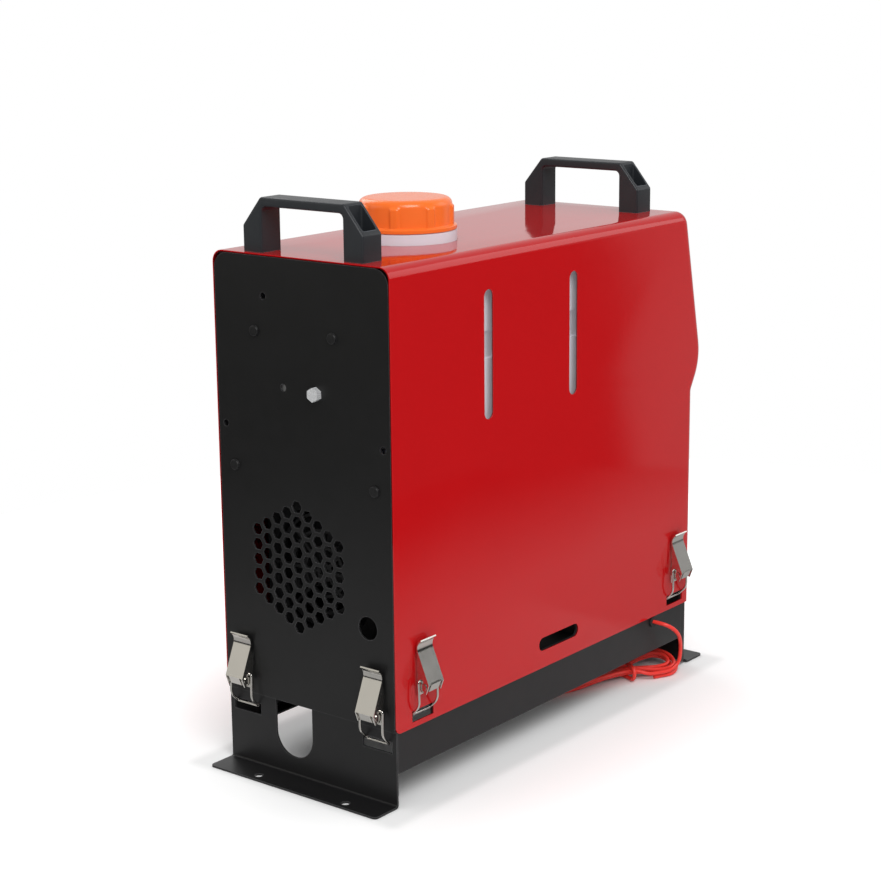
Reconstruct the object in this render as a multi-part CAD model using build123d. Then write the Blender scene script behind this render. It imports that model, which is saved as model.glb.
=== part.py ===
from build123d import *
import math
import os

# An all-in-one diesel air heater: a folded hood with tank, console and handles, latched
# onto a base frame that carries the heater core. Millimetres, +Z up, +X towards the console.
# The origin is under the middle of the base, on the surface that the feet stand on.

# Hood
cover_top = 385.0
cover_bottom = 56.0
cover_sheet = 1.2
bend_radius = 9.0
console_top_setback = 11.7
nose_reach = 14.3
nose_z = 260.5
console_foot_z = 236.0
top_corner_radius = 12.0
nose_radius = 45.0
console_foot_radius = 3.0
cover_corner_radius = 5.0

# Sheet fits
sheet_gap = 0.3
fit_gap = 0.3
hole_clearance = 0.25

# Openings of the hood's long sides
level_slot_inset = (95.5, 71.5)
level_slot_z = 309.7
level_slot_length = 94.0
level_slot_width = 10.5
cable_slot_x = 2.0
cable_slot_z = 74.8
cable_slot_length = 52.0
cable_slot_width = 10.5
cable_notch_depth = 12.0
cable_notch_margin = 4.0

# End plate and its vent
plate_corner_radius = 12.0
plate_return = 9.0
plate_return_low_z = 98.0
vent_rise = 10.0
vent_side_count = 5
vent_hole_flats = 8.4
vent_pitch = 11.2
cable_hole = (-57.4, 129.5)
cable_hole_radius = 8.5
spare_holes = ((34.0, 355.5), (16.8, 292.0))
spare_edge_hole = (8.0, 259.4)
spare_hole_radius = 2.6

# Base frame
base_sheet = 1.5
base_top_z = 92.0
rail_bottom_z = 25.0
rail_flange = 12.0
foot_flange = 24.0
foot_bend_radius = 3.0
foot_hole_inset = 7.0
base_return = 11.0
foot_hole_y = -4.5
foot_hole_spacing = 84.4
foot_hole_radius = 3.3
pipe_cut_width = 35.5
pipe_cut_bottom_z = 15.0
pipe_cut_cover = 3.0
deck_z = 77.5
deck_flange = 12.0

# Toggle latches: across the lever, up from the hook edge, out from the wall
latch_inset = (29.5, 26.0)
latch_side_inset = 19.0
long_hook_z = 67.0
end_hook_z = 48.9
hook_window_height = 8.6
long_window_width = 24.0
end_window_width = 27.0
skin_window_rise = 1.5
lever_width = 17.0
lever_sheet = 1.0
lever_foot = (22.0, 12.4)
lever_neck = (44.5, 3.0)
lever_lip_radius = 6.9
lever_lip_turn = 83.0
lever_tab_width = 10.5
lever_tab_tip = (16.2, 9.8)
lever_pivot = (20.0, 7.8)
cheek_by_bail = ((3.0, -2.2), (-2.0, -2.2))
cheek_by_pivot = ((1.0, -5.0), (-4.0, -2.6), (-5.0, 2.0))
bail_pivot = (24.0, 4.6)
pivot_pin_radius = 1.5
pivot_head_radius = 2.6
pivot_head_height = 0.5
pivot_head_gap = 0.15
bail_wire = 1.9
bail_width = 22.6
bail_hook_v = -2.2
bail_shoulder = (5.2, 5.2)
bail_bend = 10.0
bail_end_bend = 1.4
bail_end_inset = 0.1
latch_base_sheet = 1.2
latch_base_reach = (-8.0, 20.0)
ear_margin = 0.8
ear_foot = (-2.0, 6.0)
ear_waist = (-0.8, -5.0)
ear_nose = ((-0.62, -0.78), (-0.6, 0.8), (1.0, 0.4), (1.0, -1.0))
rivet_places = (8.5, 16.0)
rivet_radius = 2.2
rivet_height = 0.7

# Carrying handles
handle_inset = (14.5, 39.0)
handle_half_length = 55.5
handle_inner_half = 37.6
handle_thickness = 20.4
handle_height = 39.0
handle_foot_height = 18.6
handle_shoulder_run = 17.0
handle_grip_height = 6.6
handle_inner_radius = 4.0
handle_pocket_width = 14.4
handle_pocket_length = 13.4
handle_pocket_radius = 1.5
handle_corner_radius = 3.0
handle_edge_radius = 1.6
handle_shelf_height = 8.0
handle_screw_y = 46.6
handle_screw_radius = 2.5
handle_screw_tail = 6.0
handle_screw_head_radius = 4.6
handle_screw_head_height = 2.8
handle_nut_flats = 8.0
handle_nut_height = 4.0

# Fuel tank, and the room that the hood leaves round it
tank_length = 272.0
tank_width = 148.0
tank_height = 130.0
tank_end_room = 13.0
tank_console_room = 103.0
tank_side_room = 8.0
tank_wall = 3.0
tank_edge_radius = 16.0
tank_rim_radius = 10.0
groove_z = 315.0
groove_width = 20.0
groove_depth = 2.0
neck_inset = 104.0
neck_collar_radius = 37.5
neck_collar_rise = 7.7
neck_radius = 31.5
neck_bore_radius = 28.0
neck_rise = 16.3
spigot_inset = 16.0
spigot_side_inset = 10.0
spigot_radius = 4.0
spigot_length = 16.0
spigot_bore_radius = 2.0

# Filler cap
cap_rim_radius = 37.5
cap_rim_height = 3.2
cap_radius = 34.2
cap_crown = 4.2
cap_wall = 2.2
cap_shoulder_radius = 6.0
cap_rib_count = 18
cap_rib_radius = 2.4
cap_rib_sunk = 1.0
seal_thickness = 2.4

# Tank shelf, straps and end bracket
shelf_sheet = 1.5
shelf_flange = 14.0
shelf_screw_drop = 6.5
shelf_screw_inset = 16.0
shelf_screw_z = 229.5
strap_inset = (35.0, 33.0)
strap_width = 16.0
strap_sheet = 0.8
bracket_screws = ((43.0, 330.0), (-30.0, 332.0))
bracket_bolt = (-14.2, 291.2)
bracket_margin = 9.0
panel_screw_radius = 2.0
panel_head_radius = 4.0
panel_head_height = 1.8
panel_screw_tail = 4.0
bolt_radius = 3.0
bolt_flats = 9.0
bolt_head_height = 4.6
bolt_length = 9.0

# Heater core
core_pump_room = 16.2
core_foot_room = 10.5
core_width = 110.0
core_height = 124.0
core_wall = 2.5
core_corner_radius = 30.0
core_start_x = -158.0
core_end_x = 128.0
core_foot_x = (-106.0, 8.0)
core_foot_half = 30.0
core_foot_window = 8.0
gasket_thickness = 2.0
grille_thickness = 8.0
grille_ring_count = 4
grille_spoke_count = 8
grille_bar = 2.4
grille_hub_radius = 4.0
grille_opening_gap = 2.0
cone_length = 40.0
duct_radius = 37.5
duct_wall = 2.4
duct_reach = 18.0
collar_flange_radius = 47.0
collar_flange_thickness = 2.5
cone_corner_gap = 0.5

# Blower and burner
shaft_radius = 3.0
bearing_clearance = 0.05
shaft_x = (-156.0, -71.0)
fan_x = (-153.0, -133.0)
fan_radius = 47.0
fan_hub_radius = 15.0
fan_hub_rounding = 5.0
fan_blade_count = 7
fan_blade_thickness = 1.8
fan_blade_angle = 38.0
motor_x = (-128.0, -91.0)
motor_radius = 23.0
motor_flange = 2.5
motor_flange_radius = 40.0
motor_cap_depth = 3.0
scroll_x = (-91.0, -62.0)
scroll_unit_room = 3.5
impeller_x = (-87.5, -77.5)
impeller_radius = 33.0
impeller_hub_radius = 9.0
impeller_disc = 2.5
impeller_vane_count = 24
impeller_vane = 1.4
impeller_inlet_room = 4.0
impeller_tip_gap = 1.2
impeller_end_gap = 1.0
impeller_vane_gap = 0.2
burner_end_x = 62.0
burner_radius = 22.0
burner_wall = 1.2
burner_flange_radius = 31.0
burner_flange = 3.0
exchanger_end_x = 116.0
exchanger_radius = 35.0
exchanger_bore_radius = 29.0
fin_count = 20
fin_radius = 50.0
fin_thickness = 2.0
exchanger_end_wall = 6.0
foot_wall = 6.0
foot_plate = 10.0
pipe_boss_radius = 15.0
pipe_bottom_z = 46.0
exhaust_x = -28.0
exhaust_shift = 9.5
exhaust_radius = 12.0
exhaust_bore_radius = 10.0
intake_x = -82.0
intake_shift = -8.2
intake_radius = 12.5
intake_bore_radius = 10.5
stud_inset = (7.0, 6.0)
stud_radius = 3.0
stud_nut_flats = 10.0
stud_nut_height = 5.0
stud_tail = 5.0
glow_plug_x = -68.5
glow_plug_radius = 4.5
glow_plug_hexagon = (10.8, 5.0)
glow_plug_post = 9.0
control_unit_x = (-131.0, -78.0)
control_unit_width = 44.0
control_socket_x = (6.0, 30.0)
control_socket_width = 20.0
control_socket_depth = 4.0
control_unit_height = 12.0

# Fuel line, filter and dosing pump
line_radius = 2.5
filter_radius = 10.0
filter_length = 34.0
filter_nozzle = 4.0
filter_edge_radius = 1.5
filter_bore_radius = 1.2
filter_top_z = 206.0
pump_z = 140.0
pump_x = (-46.0, 38.0)
pump_radius = 12.0
pump_neck_radius = 4.5
pump_neck_length = 8.0
pump_edge_radius = 2.0
pump_socket_x = (22.0, 6.0)
pump_socket_width = 12.0
pump_socket_rise = 6.0
clamp_x = -4.0
clamp_width = 16.0
clamp_thickness = 2.0
clamp_foot_reach = 12.0
core_inlet_x = -98.0

# Controller on the console's slope
bezel_width = 104.0
bezel_height = 62.0
bezel_proud = 3.0
bezel_depth = 14.0
bezel_corner_radius = 7.0
bezel_lip = 5.0
bezel_edge_radius = 1.2
bezel_box_gap = 1.0
console_s = 67.0
screen_width = 50.0
screen_height = 30.0
screen_thickness = 1.6
screen_gap = 0.2
screen_recess = 0.5
button_radius = 4.6
button_at = (40.0, 12.0)
button_proud = 1.4
button_travel = 0.8
button_clearance = 0.3
button_edge_radius = 0.8
button_well_depth = 2.0

# Hot air outlet louvre
louvre_depth = 12.0
louvre_ring = 2.0
louvre_stop = 2.0
louvre_inset = 2.0
louvre_slat_margin = 1.0
louvre_slat_count = 5
louvre_slat_thickness = 1.6
louvre_slat_angle = 35.0

# Supply lead: route of the free stretch, then the hank on the floor
lead_wire = 3.2
lead_exit_inset = 56.5
lead_exit_z = 51.0
bushing_bore_clearance = 0.3
bushing_radius = 3.6
bushing_flange_radius = 4.6
bushing_flange = 1.2
bushing_tail = 1.5
bushing_fit = 0.1
lead_steps = (
    (0.2, 8.5, 51.2),
    (5.0, 16.0, 47.5),
    (12.5, 17.5, 40.5),
    (19.5, 15.0, 32.0),
    (24.3, 12.5, 21.5),
    (24.3, 10.9, 10.5),
)
lead_last_run = 12.0
hank_inset = (34.0, 10.5)
hank_heading = 153.8
hank_span = 104.0
hank_waist = 34.0
hank_entry = 10.0
hank_radius = 17.0
hank_draw = 5.0
hank_step = 4.7
hank_layer = 4.0
hank_lift = 3.8
hank_turns = 2
hank_tail = 12.0
tie_gap = 0.5
tie_pitch = 4.2
tie_overlap = 6.0
bend_share = 0.45


def block(x_range, y_range, z_range):
    """Box between two limits along each axis."""
    sizes = [high - low for low, high in (x_range, y_range, z_range)]
    middle = [(high + low) / 2 for low, high in (x_range, y_range, z_range)]
    return Pos(*middle) * Box(*sizes)


def rod(start, end, radius):
    """Round bar from one point to another."""
    axis = Vector(*end) - Vector(*start)
    bar = Cylinder(radius, axis.length, align=(Align.CENTER, Align.CENTER, Align.MIN))
    return Plane(origin=start, z_dir=axis) * bar


def tube(start, end, radius, bore):
    """Round bar with a bore right through."""
    return rod(start, end, radius) - rod(start, end, bore)


def along_x(x_range, radius, bore=0.0):
    """Disc or ring on the heater core's axis."""
    ends = [(x, core_y, core_z) for x in x_range]
    return tube(*ends, radius, bore) if bore else rod(*ends, radius)


def hexagon_prism(plane, flats, height):
    """Hexagonal nut or bolt head standing on a plane."""
    return extrude(plane * RegularPolygon(flats / math.sqrt(3), 6), height)


def pan_screw(plane, shank_length):
    """Pan head standing on a plane, with its shank running back through the sheet."""
    head = plane * Pos(0, 0, panel_head_height / 2) * Cylinder(panel_head_radius, panel_head_height)
    rim = head.edges().sort_by(Axis(plane.origin, plane.z_dir))[-1]
    return fillet(rim, panel_head_height * 0.6) + extrude(plane * Circle(panel_screw_radius), -shank_length)


def mirrored_y(shape):
    """Mirror image across the middle of the heater's width."""
    return mirror(shape, about=Plane.XZ)


def mirrored_x(shape):
    """Mirror image across the middle of the heater's length."""
    return mirror(shape, about=Plane.YZ)


# Places that several pieces share
cover_end_x = (tank_length + tank_end_room + tank_console_room) / 2
cover_half = tank_width / 2 + tank_side_room
cover_width = 2 * cover_half
cover_inside = cover_half - cover_sheet
base_end_x = cover_end_x - cover_sheet - sheet_gap
base_half = cover_inside - sheet_gap
base_inside_x = base_end_x - base_sheet
base_inside = base_half - base_sheet
console_top_x = cover_end_x - console_top_setback
nose_x = cover_end_x + nose_reach
console_run = math.dist((nose_x, nose_z), (console_top_x, cover_top))
console_out = ((cover_top - nose_z) / console_run, (nose_x - console_top_x) / console_run)
tank_x = (-cover_end_x + tank_end_room, cover_end_x - tank_console_room)
shelf_top_z = shelf_screw_z + shelf_screw_drop
tank_top_z = shelf_top_z + tank_height
latch_skin = cover_sheet + sheet_gap
base_corner_radius = bend_radius - latch_skin
deck_underside_z = deck_z - base_sheet
gasket_top_z = deck_z + gasket_thickness
core_half_width = core_width / 2
core_half_height = core_height / 2
core_z = gasket_top_z + core_foot_room + core_half_height
vent_z = core_z + vent_rise
scroll_radius = core_half_height - core_wall - control_unit_height - scroll_unit_room
handle_base_z = cover_top
handle_x = (-cover_end_x + handle_inset[0], cover_end_x - handle_inset[1])
latch_x = (-cover_end_x + latch_inset[0], cover_end_x - latch_inset[1])
latch_y = cover_half - latch_side_inset
level_slot_x = (tank_x[0] + level_slot_inset[0], tank_x[1] - level_slot_inset[1])
strap_x = (tank_x[0] + strap_inset[0], tank_x[1] - strap_inset[1])
shelf_screw_y = cover_half - shelf_screw_inset
neck_x = tank_x[0] + neck_inset
neck_collar_top_z = cover_top + neck_collar_rise
neck_top_z = neck_collar_top_z + neck_rise
cap_rim_z = neck_collar_top_z + fit_gap
seal_bottom_z = neck_top_z + fit_gap
cap_inside_z = seal_bottom_z + seal_thickness + fit_gap
cap_top_z = cap_inside_z + cap_crown
pump_y = spigot_side_inset - tank_width / 2
spigot_at = (tank_x[1] - spigot_inset, pump_y)
core_y = pump_y + core_pump_room + core_half_width
exhaust_at = (exhaust_x, core_y + exhaust_shift)
intake_at = (intake_x, core_y + intake_shift)
lead_exit = (cover_end_x - lead_exit_inset, lead_exit_z)
hank_right = (cover_end_x - hank_inset[0], hank_inset[1] - base_half)
core_inlet_z = gasket_top_z + foot_plate / 2
hank_start = hank_radius + hank_step / 2
collar_end_x = cover_end_x + duct_reach
spare = 20.0


def hood_profile(inset):
    """Side outline of the hood, drawn in by an inset, running on past its open ends."""
    left, low = -cover_end_x - spare, cover_bottom - spare
    top_corner, nose = (console_top_x, cover_top), (nose_x, nose_z)
    console_foot = (cover_end_x, console_foot_z)
    corners = [(left, low), (cover_end_x, low), console_foot, nose, top_corner, (left, cover_top)]
    face = make_face(Polyline(*corners, close=True))
    rounds = ((top_corner, top_corner_radius), (nose, nose_radius), (console_foot, console_foot_radius))
    for corner, radius in rounds:
        face = fillet(face.vertices().sort_by_distance((*corner, 0))[0], radius)
    return offset(face, -inset) if inset else face


def hood_form(inset):
    """The hood's space as a solid, with its long bends and end corners rounded."""
    half = cover_half - inset
    form = extrude(Plane.XZ * hood_profile(inset), half, both=True)
    left, low = -cover_end_x - spare / 2, cover_bottom - spare / 2

    def on_a_side(edge):
        middle = edge.center()
        return abs(abs(middle.Y) - half) < 0.001 and middle.X > left and middle.Z > low

    return fillet(form.edges().filter_by(on_a_side), bend_radius - inset)


def slot_cutter(x, z, length, width, angle, depth):
    """Round-ended slot cut through from a side wall, along or up it."""
    slot = Pos(x, z) * Rot(0, 0, angle) * SlotOverall(length, width)
    return extrude(Plane.XZ.offset(cover_half - depth) * slot, depth + 1)


def console_plane(lift=0.0):
    """Plane on the console's slope: x across the heater, y up the slope, z outward."""
    along = console_s / console_run
    x = nose_x + (console_top_x - nose_x) * along + console_out[0] * lift
    z = nose_z + (cover_top - nose_z) * along + console_out[1] * lift
    return Plane(origin=(x, 0, z), x_dir=(0, 1, 0), z_dir=(console_out[0], 0, console_out[1]))


def handle_screw_places():
    """Centres of the handle screws on the hood's top."""
    return [(x, side * handle_screw_y) for x in handle_x for side in (-1, 1)]


def cover_shell():
    """Red hood: two long sides, top, sloping console and straight end, from one sheet."""
    within = block((-cover_end_x, nose_x), (-cover_half, cover_half), (cover_bottom, cover_top))
    shell = (hood_form(0.0) - hood_form(cover_sheet)) & within
    shell -= rod((neck_x, 0, cover_top - spare), (neck_x, 0, cover_top + 1), neck_collar_radius + fit_gap)
    for x, y in handle_screw_places():
        reach = (cover_top - spare, cover_top + 1)
        shell -= rod((x, y, reach[0]), (x, y, reach[1]), handle_screw_radius + hole_clearance)
    depth = cover_sheet + bend_radius
    cutters = [
        slot_cutter(x, level_slot_z, level_slot_length, level_slot_width, 90, depth) for x in level_slot_x
    ]
    cutters.append(slot_cutter(cable_slot_x, cable_slot_z, cable_slot_length, cable_slot_width, 0, depth))
    for x in latch_x:
        top = long_hook_z + skin_window_rise
        wide = long_window_width / 2
        cutters.append(block((x - wide, x + wide), (-cover_half - 1, -cover_inside + 1),
                             (top - hook_window_height, top)))
    for cutter in cutters:
        shell -= cutter
        shell -= mirrored_y(cutter)
    opening = Rectangle(bezel_width - 2 * bezel_lip, bezel_height - 2 * bezel_lip)
    shell -= extrude(console_plane() * opening, spare, both=True)
    shell -= along_x((base_end_x - spare, nose_x), duct_radius + fit_gap)
    for side in (-1, 1):
        hole = ((base_end_x - 5, side * shelf_screw_y, shelf_screw_z),
                (cover_end_x + 5, side * shelf_screw_y, shelf_screw_z))
        shell -= rod(*hole, panel_screw_radius + hole_clearance)
    return round_low_corners(shell)


def round_low_corners(shell):
    """Round the hood's bottom corners at the end that takes the end plate."""
    def at_corner(edge):
        middle = edge.center()
        return abs(middle.X + cover_end_x) < 0.001 and abs(middle.Z - cover_bottom) < 0.001

    return fillet(shell.edges().filter_by(at_corner), cover_corner_radius)


def vent_places():
    """Centres of the vent's holes, column by column across a hexagon."""
    column_step = vent_pitch * math.sqrt(3) / 2
    for column in range(1 - vent_side_count, vent_side_count):
        count = 2 * vent_side_count - 1 - abs(column)
        for row in range(count):
            yield core_y + column * column_step, vent_z + (row - (count - 1) / 2) * vent_pitch


def end_plate():
    """Black end plate with a hexagonal vent, returned edges and plain holes."""
    half = cover_inside - hole_clearance
    top = cover_top - cover_sheet - hole_clearance
    low = cover_bottom + 1
    outer_x = -cover_end_x
    sheet_face = make_face(Polyline((-half, low), (half, low), (half, top), (-half, top), close=True))
    upper = sheet_face.vertices().group_by(Axis.Y)[-1]
    sheet_face = fillet(upper, plate_corner_radius)
    inner_face = offset(sheet_face, -cover_sheet)
    face_plane = Plane.YZ.offset(outer_x)
    plate = extrude(face_plane * (sheet_face - inner_face), plate_return)
    below = block((outer_x - 1, outer_x + plate_return + 1), (-cover_half, cover_half),
                  (low - 1, plate_return_low_z))
    plate = (plate - below) + extrude(face_plane * sheet_face, cover_sheet)
    vents = [Pos(y, z) * RegularPolygon(vent_hole_flats / math.sqrt(3), 6) for y, z in vent_places()]
    holes = [Pos(y, z) * Circle(spare_hole_radius) for y, z in spare_hole_places()]
    holes += [Pos(y, z) * Circle(panel_screw_radius + hole_clearance) for y, z in plate_screw_places()]
    holes.append(Pos(*cable_hole) * Circle(cable_hole_radius))
    holes.append(Pos(*bracket_bolt) * Circle(bolt_radius + hole_clearance))
    return plate - extrude(face_plane * Sketch(children=vents + holes), cover_sheet * 2, both=True)


def spare_hole_places():
    """Centres of the end plate's plain holes."""
    inset, z = spare_edge_hole
    return [*spare_holes, (cover_half - inset, z), (inset - cover_half, z)]


def plate_screw_places():
    """Centres of the end plate's pan head screws."""
    return [(side * shelf_screw_y, shelf_screw_z) for side in (-1, 1)] + list(bracket_screws)


def panel_screws():
    """Pan head screws that hold the shelf and the tank's bracket to the hood's ends."""
    shank = cover_sheet + shelf_sheet + panel_screw_tail
    screws = [pan_screw(Plane(origin=(-cover_end_x, y, z), z_dir=(-1, 0, 0)), shank)
              for y, z in plate_screw_places()]
    screws += [pan_screw(Plane(origin=(cover_end_x, side * shelf_screw_y, shelf_screw_z), z_dir=(1, 0, 0)),
                         shank) for side in (-1, 1)]
    return Compound(children=screws)


def hexagon_bolt():
    """Hexagon bolt through the end plate into the tank's bracket."""
    face = Plane(origin=(-cover_end_x, *bracket_bolt), z_dir=(-1, 0, 0))
    return hexagon_prism(face, bolt_flats, bolt_head_height) + extrude(face * Circle(bolt_radius), -bolt_length)


def base_end():
    """Left end of the base: a wall folded out into a foot flange, with a pipe cut-out."""
    foot_x = -base_end_x - foot_flange
    corners = [(-base_inside_x, base_top_z), (-base_end_x, base_top_z), (-base_end_x, base_sheet),
               (foot_x, base_sheet), (foot_x, 0), (-base_inside_x, 0)]
    profile = make_face(Polyline(*corners, close=True))
    profile = fillet(profile.vertices().sort_by_distance((-base_inside_x, 0, 0))[0], foot_bend_radius)
    inner = profile.vertices().sort_by_distance((-base_end_x, base_sheet, 0))[0]
    profile = fillet(inner, foot_bend_radius - base_sheet)
    wall = extrude(Plane.XZ * profile, base_half, both=True)
    tips = wall.edges().filter_by(Axis.Z).group_by(Axis.X)[0]
    wall = fillet(tips, foot_bend_radius)
    cut_top = cover_bottom + pipe_cut_cover
    radius = pipe_cut_width / 2
    cut = Pos(exhaust_at[1], pipe_cut_bottom_z + radius) * Circle(radius)
    cut += Pos(exhaust_at[1], (pipe_cut_bottom_z + radius + cut_top) / 2) * Rectangle(
        pipe_cut_width, cut_top - pipe_cut_bottom_z - radius)
    wall -= extrude(Plane.YZ.offset(-base_end_x) * cut, base_sheet * 2, both=True)
    for y in foot_hole_places():
        wall -= rod((-foot_hole_x(), y, -1), (-foot_hole_x(), y, base_sheet + 1), foot_hole_radius)
    return wall


def foot_hole_x():
    """Distance of the floor fixing holes from the heater's middle."""
    return base_end_x + foot_flange - foot_hole_inset


def foot_hole_places():
    """Places of a foot's fixing holes across the heater."""
    return [foot_hole_y + side * foot_hole_spacing / 2 for side in (-1, 1)]


def base_end_left():
    """Base end under the end plate, with two windows for the latches' bails."""
    wall = base_end()
    for side in (-1, 1):
        wide = end_window_width / 2
        wall -= block((-base_end_x - 1, -base_inside_x + 1),
                      (side * latch_y - wide, side * latch_y + wide),
                      (end_hook_z - hook_window_height, end_hook_z))
    return wall


def base_end_right():
    """Base end under the console: it returns round the hood's rounded corners."""
    wall = mirrored_x(base_end())
    start, reach = base_end_x - base_return, base_end_x + 1
    flat = base_half - base_corner_radius
    heights = (foot_bend_radius, base_top_z)
    for y_range in ((-base_half - 1, -flat), (flat, base_half + 1)):
        wall -= block((start - 1, reach), y_range, (heights[0], heights[1] + 1))
    corners = base_corners(base_end_x, base_half, base_corner_radius)
    corners -= base_corners(base_inside_x, base_inside, base_corner_radius - base_sheet)
    corners &= Pos((start + reach) / 2, 0) * Rectangle(reach - start, cover_width)
    corners -= Rectangle(2 * reach, 2 * flat)
    return wall + extrude(Pos(0, 0, heights[0]) * corners, heights[1] - heights[0])


def base_corners(end_x, half, radius):
    """Plan of the base's space, with rounded corners at the console's end."""
    plan = make_face(Polyline((0, -half), (end_x, -half), (end_x, half), (0, half), close=True))
    return fillet(plan.vertices().group_by(Axis.X)[-1], radius)


def base_rails():
    """Two side rails with a folded lower edge, bail windows and a cable slot."""
    reach = (-base_inside_x, base_end_x - base_return)
    rail = block(reach, (-base_half, -base_inside), (rail_bottom_z, base_top_z))
    rail += block(reach, (-base_half, -base_half + rail_flange), (rail_bottom_z, rail_bottom_z + base_sheet))
    outer = rail.edges().filter_by(Axis.X).sort_by_distance((0, -base_half, rail_bottom_z))[0]
    rail = fillet(outer, base_sheet)
    for x in latch_x:
        wide = long_window_width / 2
        rail -= block((x - wide, x + wide), (-base_half - 1, -base_inside + 1),
                      (long_hook_z - hook_window_height, long_hook_z))
    depth = cover_half - base_inside + 1
    rail -= slot_cutter(cable_slot_x, cable_slot_z, cable_slot_length, cable_slot_width, 0, depth)
    near = rail - rod((lead_exit[0], -base_half - 1, lead_exit[1]),
                      (lead_exit[0], -base_inside + 1, lead_exit[1]), bushing_radius)
    return Compound(children=[near, mirrored_y(rail)])


def stud_places():
    """Centres of the heater core's four studs."""
    return [(x, core_y + side * (core_foot_half - stud_inset[1]))
            for x in (core_foot_x[0] + stud_inset[0], core_foot_x[1] - stud_inset[0])
            for side in (-1, 1)]


def mounting_deck():
    """Tray across the base that carries the heater core, with its pipe and stud holes."""
    plan = base_corners(base_inside_x, base_inside, base_corner_radius - base_sheet)
    plan += Pos(-base_inside_x / 2, 0) * Rectangle(base_inside_x, 2 * base_inside)
    deck = extrude(Pos(0, 0, deck_underside_z) * plan, base_sheet)
    lip = block((-base_inside_x, base_end_x - base_return), (-base_inside, -base_inside + base_sheet),
                (deck_underside_z, deck_z + deck_flange))
    notch_half = cable_slot_length / 2 + cable_notch_margin
    notch = block((cable_slot_x - notch_half, cable_slot_x + notch_half),
                  (-base_inside - 1, -base_inside + cable_notch_depth),
                  (deck_underside_z - 1, deck_z + deck_flange + 1))
    deck += [lip, mirrored_y(lip)]
    deck -= [notch, mirrored_y(notch)]
    for x, y in (exhaust_at, intake_at):
        deck -= rod((x, y, deck_underside_z - 1), (x, y, deck_z + 1), pipe_boss_radius + fit_gap)
    for x, y in stud_places():
        deck -= rod((x, y, deck_underside_z - 1), (x, y, deck_z + 1), stud_radius + hole_clearance)
    return deck


def latch_planes(long_sides):
    """Planes of the latches: x along the wall, y up from the hook edge, z out of the wall."""
    if not long_sides:
        return [Plane(origin=(-cover_end_x, side * latch_y, end_hook_z), x_dir=(0, -1, 0), z_dir=(-1, 0, 0))
                for side in (-1, 1)]
    return [Plane(origin=(x, side * cover_half, long_hook_z), x_dir=(-side, 0, 0), z_dir=(0, side, 0))
            for side in (-1, 1) for x in latch_x]


def side_sheet(points, start, width):
    """Sheet of a latch seen from its side: points are up and out, start and width across."""
    return extrude(Plane.YZ.offset(start) * make_face(Polyline(*points, close=True)), width)


def lever_section():
    """Closed outline of the lever's face and lip, one sheet thick."""
    foot, neck = Vector(*lever_foot), Vector(*lever_neck)
    along = (neck - foot).normalized()
    inward = Vector(along.Y, -along.X) * lever_sheet
    lip = JernArc(neck, along, lever_lip_radius, lever_lip_turn)
    back_lip = JernArc(neck + inward, along, lever_lip_radius + lever_sheet, lever_lip_turn)
    return make_face([Line(foot, neck), lip, Line(lip @ 1, back_lip @ 1), back_lip,
                      Line(neck + inward, foot + inward), Line(foot + inward, foot)])


def latch_lever():
    """Folded lever: a face with an outward lip, two side cheeks and a foot tab."""
    half = lever_width / 2
    lever = extrude(Plane.YZ.offset(-half) * lever_section(), lever_width)
    (pv, pw), (bv, bw) = lever_pivot, bail_pivot
    cheek = [lever_foot, lever_neck, (lever_neck[0] - lever_sheet, lever_neck[1] - lever_sheet)]
    cheek += [(bv + up, bw + out) for up, out in cheek_by_bail]
    cheek += [(pv + up, pw + out) for up, out in cheek_by_pivot]
    for start in (-half, half - lever_sheet):
        lever += side_sheet(cheek, start, lever_sheet)
    foot, tip = Vector(*lever_foot), Vector(*lever_tab_tip)
    along = (tip - foot).normalized()
    inward = Vector(-along.Y, along.X) * lever_sheet
    tab = [foot, tip, tip + inward, foot + inward - along * lever_sheet]
    lever += side_sheet(tab, -lever_tab_width / 2, lever_tab_width)
    for pivot, radius in ((lever_pivot, pivot_pin_radius), (bail_pivot, bail_wire / 2)):
        v, w = pivot
        lever -= rod((-half - 1, v, w), (half + 1, v, w), radius + bearing_clearance)
    return lever


def latch_base():
    """Latch's wall plate with two ears, and the pin that the lever turns on."""
    half = lever_width / 2
    (pv, pw) = lever_pivot
    ear_out = half - lever_sheet - fit_gap
    sheet = latch_base_sheet
    low, high = latch_base_reach
    base = block((-ear_out, ear_out), (pv + low, pv + high), (0, sheet))
    nose = pivot_pin_radius + ear_margin
    ear = [(pv + ear_foot[0], sheet / 2), (pv + ear_waist[0], pw + ear_waist[1])]
    ear += [(pv + up * nose, pw + out * nose) for up, out in ear_nose]
    ear.append((pv + ear_foot[1], sheet / 2))
    for start in (-ear_out, ear_out - sheet):
        base += side_sheet(ear, start, sheet)
    head_start = half + pivot_head_gap
    base += rod((-head_start, pv, pw), (head_start, pv, pw), pivot_pin_radius)
    head_end = head_start + pivot_head_height
    for start, end in ((-head_end, -head_start), (head_start, head_end)):
        base += rod((start, pv, pw), (end, pv, pw), pivot_head_radius)
    for place in rivet_places:
        base += rod((0, pv + place, sheet / 2), (0, pv + place, sheet + rivet_height), rivet_radius)
    return base


def latch_bail():
    """Bent wire bail: it hangs in the lever's cheeks and hooks through the base's window."""
    bv, bw = bail_pivot
    u = (bail_width - bail_wire) / 2
    inner = lever_width / 2 - lever_sheet + bail_end_inset
    hook_w = -(latch_skin + base_sheet / 2)
    half = [(inner, bv, bw), (u, bv, bw), (u, *bail_shoulder), (u, bail_hook_v, hook_w)]
    bends = [bail_end_bend, bail_bend, bail_end_bend]
    path = FilletPolyline(*half, *[(-x, v, w) for x, v, w in reversed(half)], radius=bends + bends)
    return sweep(Plane(origin=path @ 0, z_dir=path % 0) * Circle(bail_wire / 2), path=path)


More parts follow.
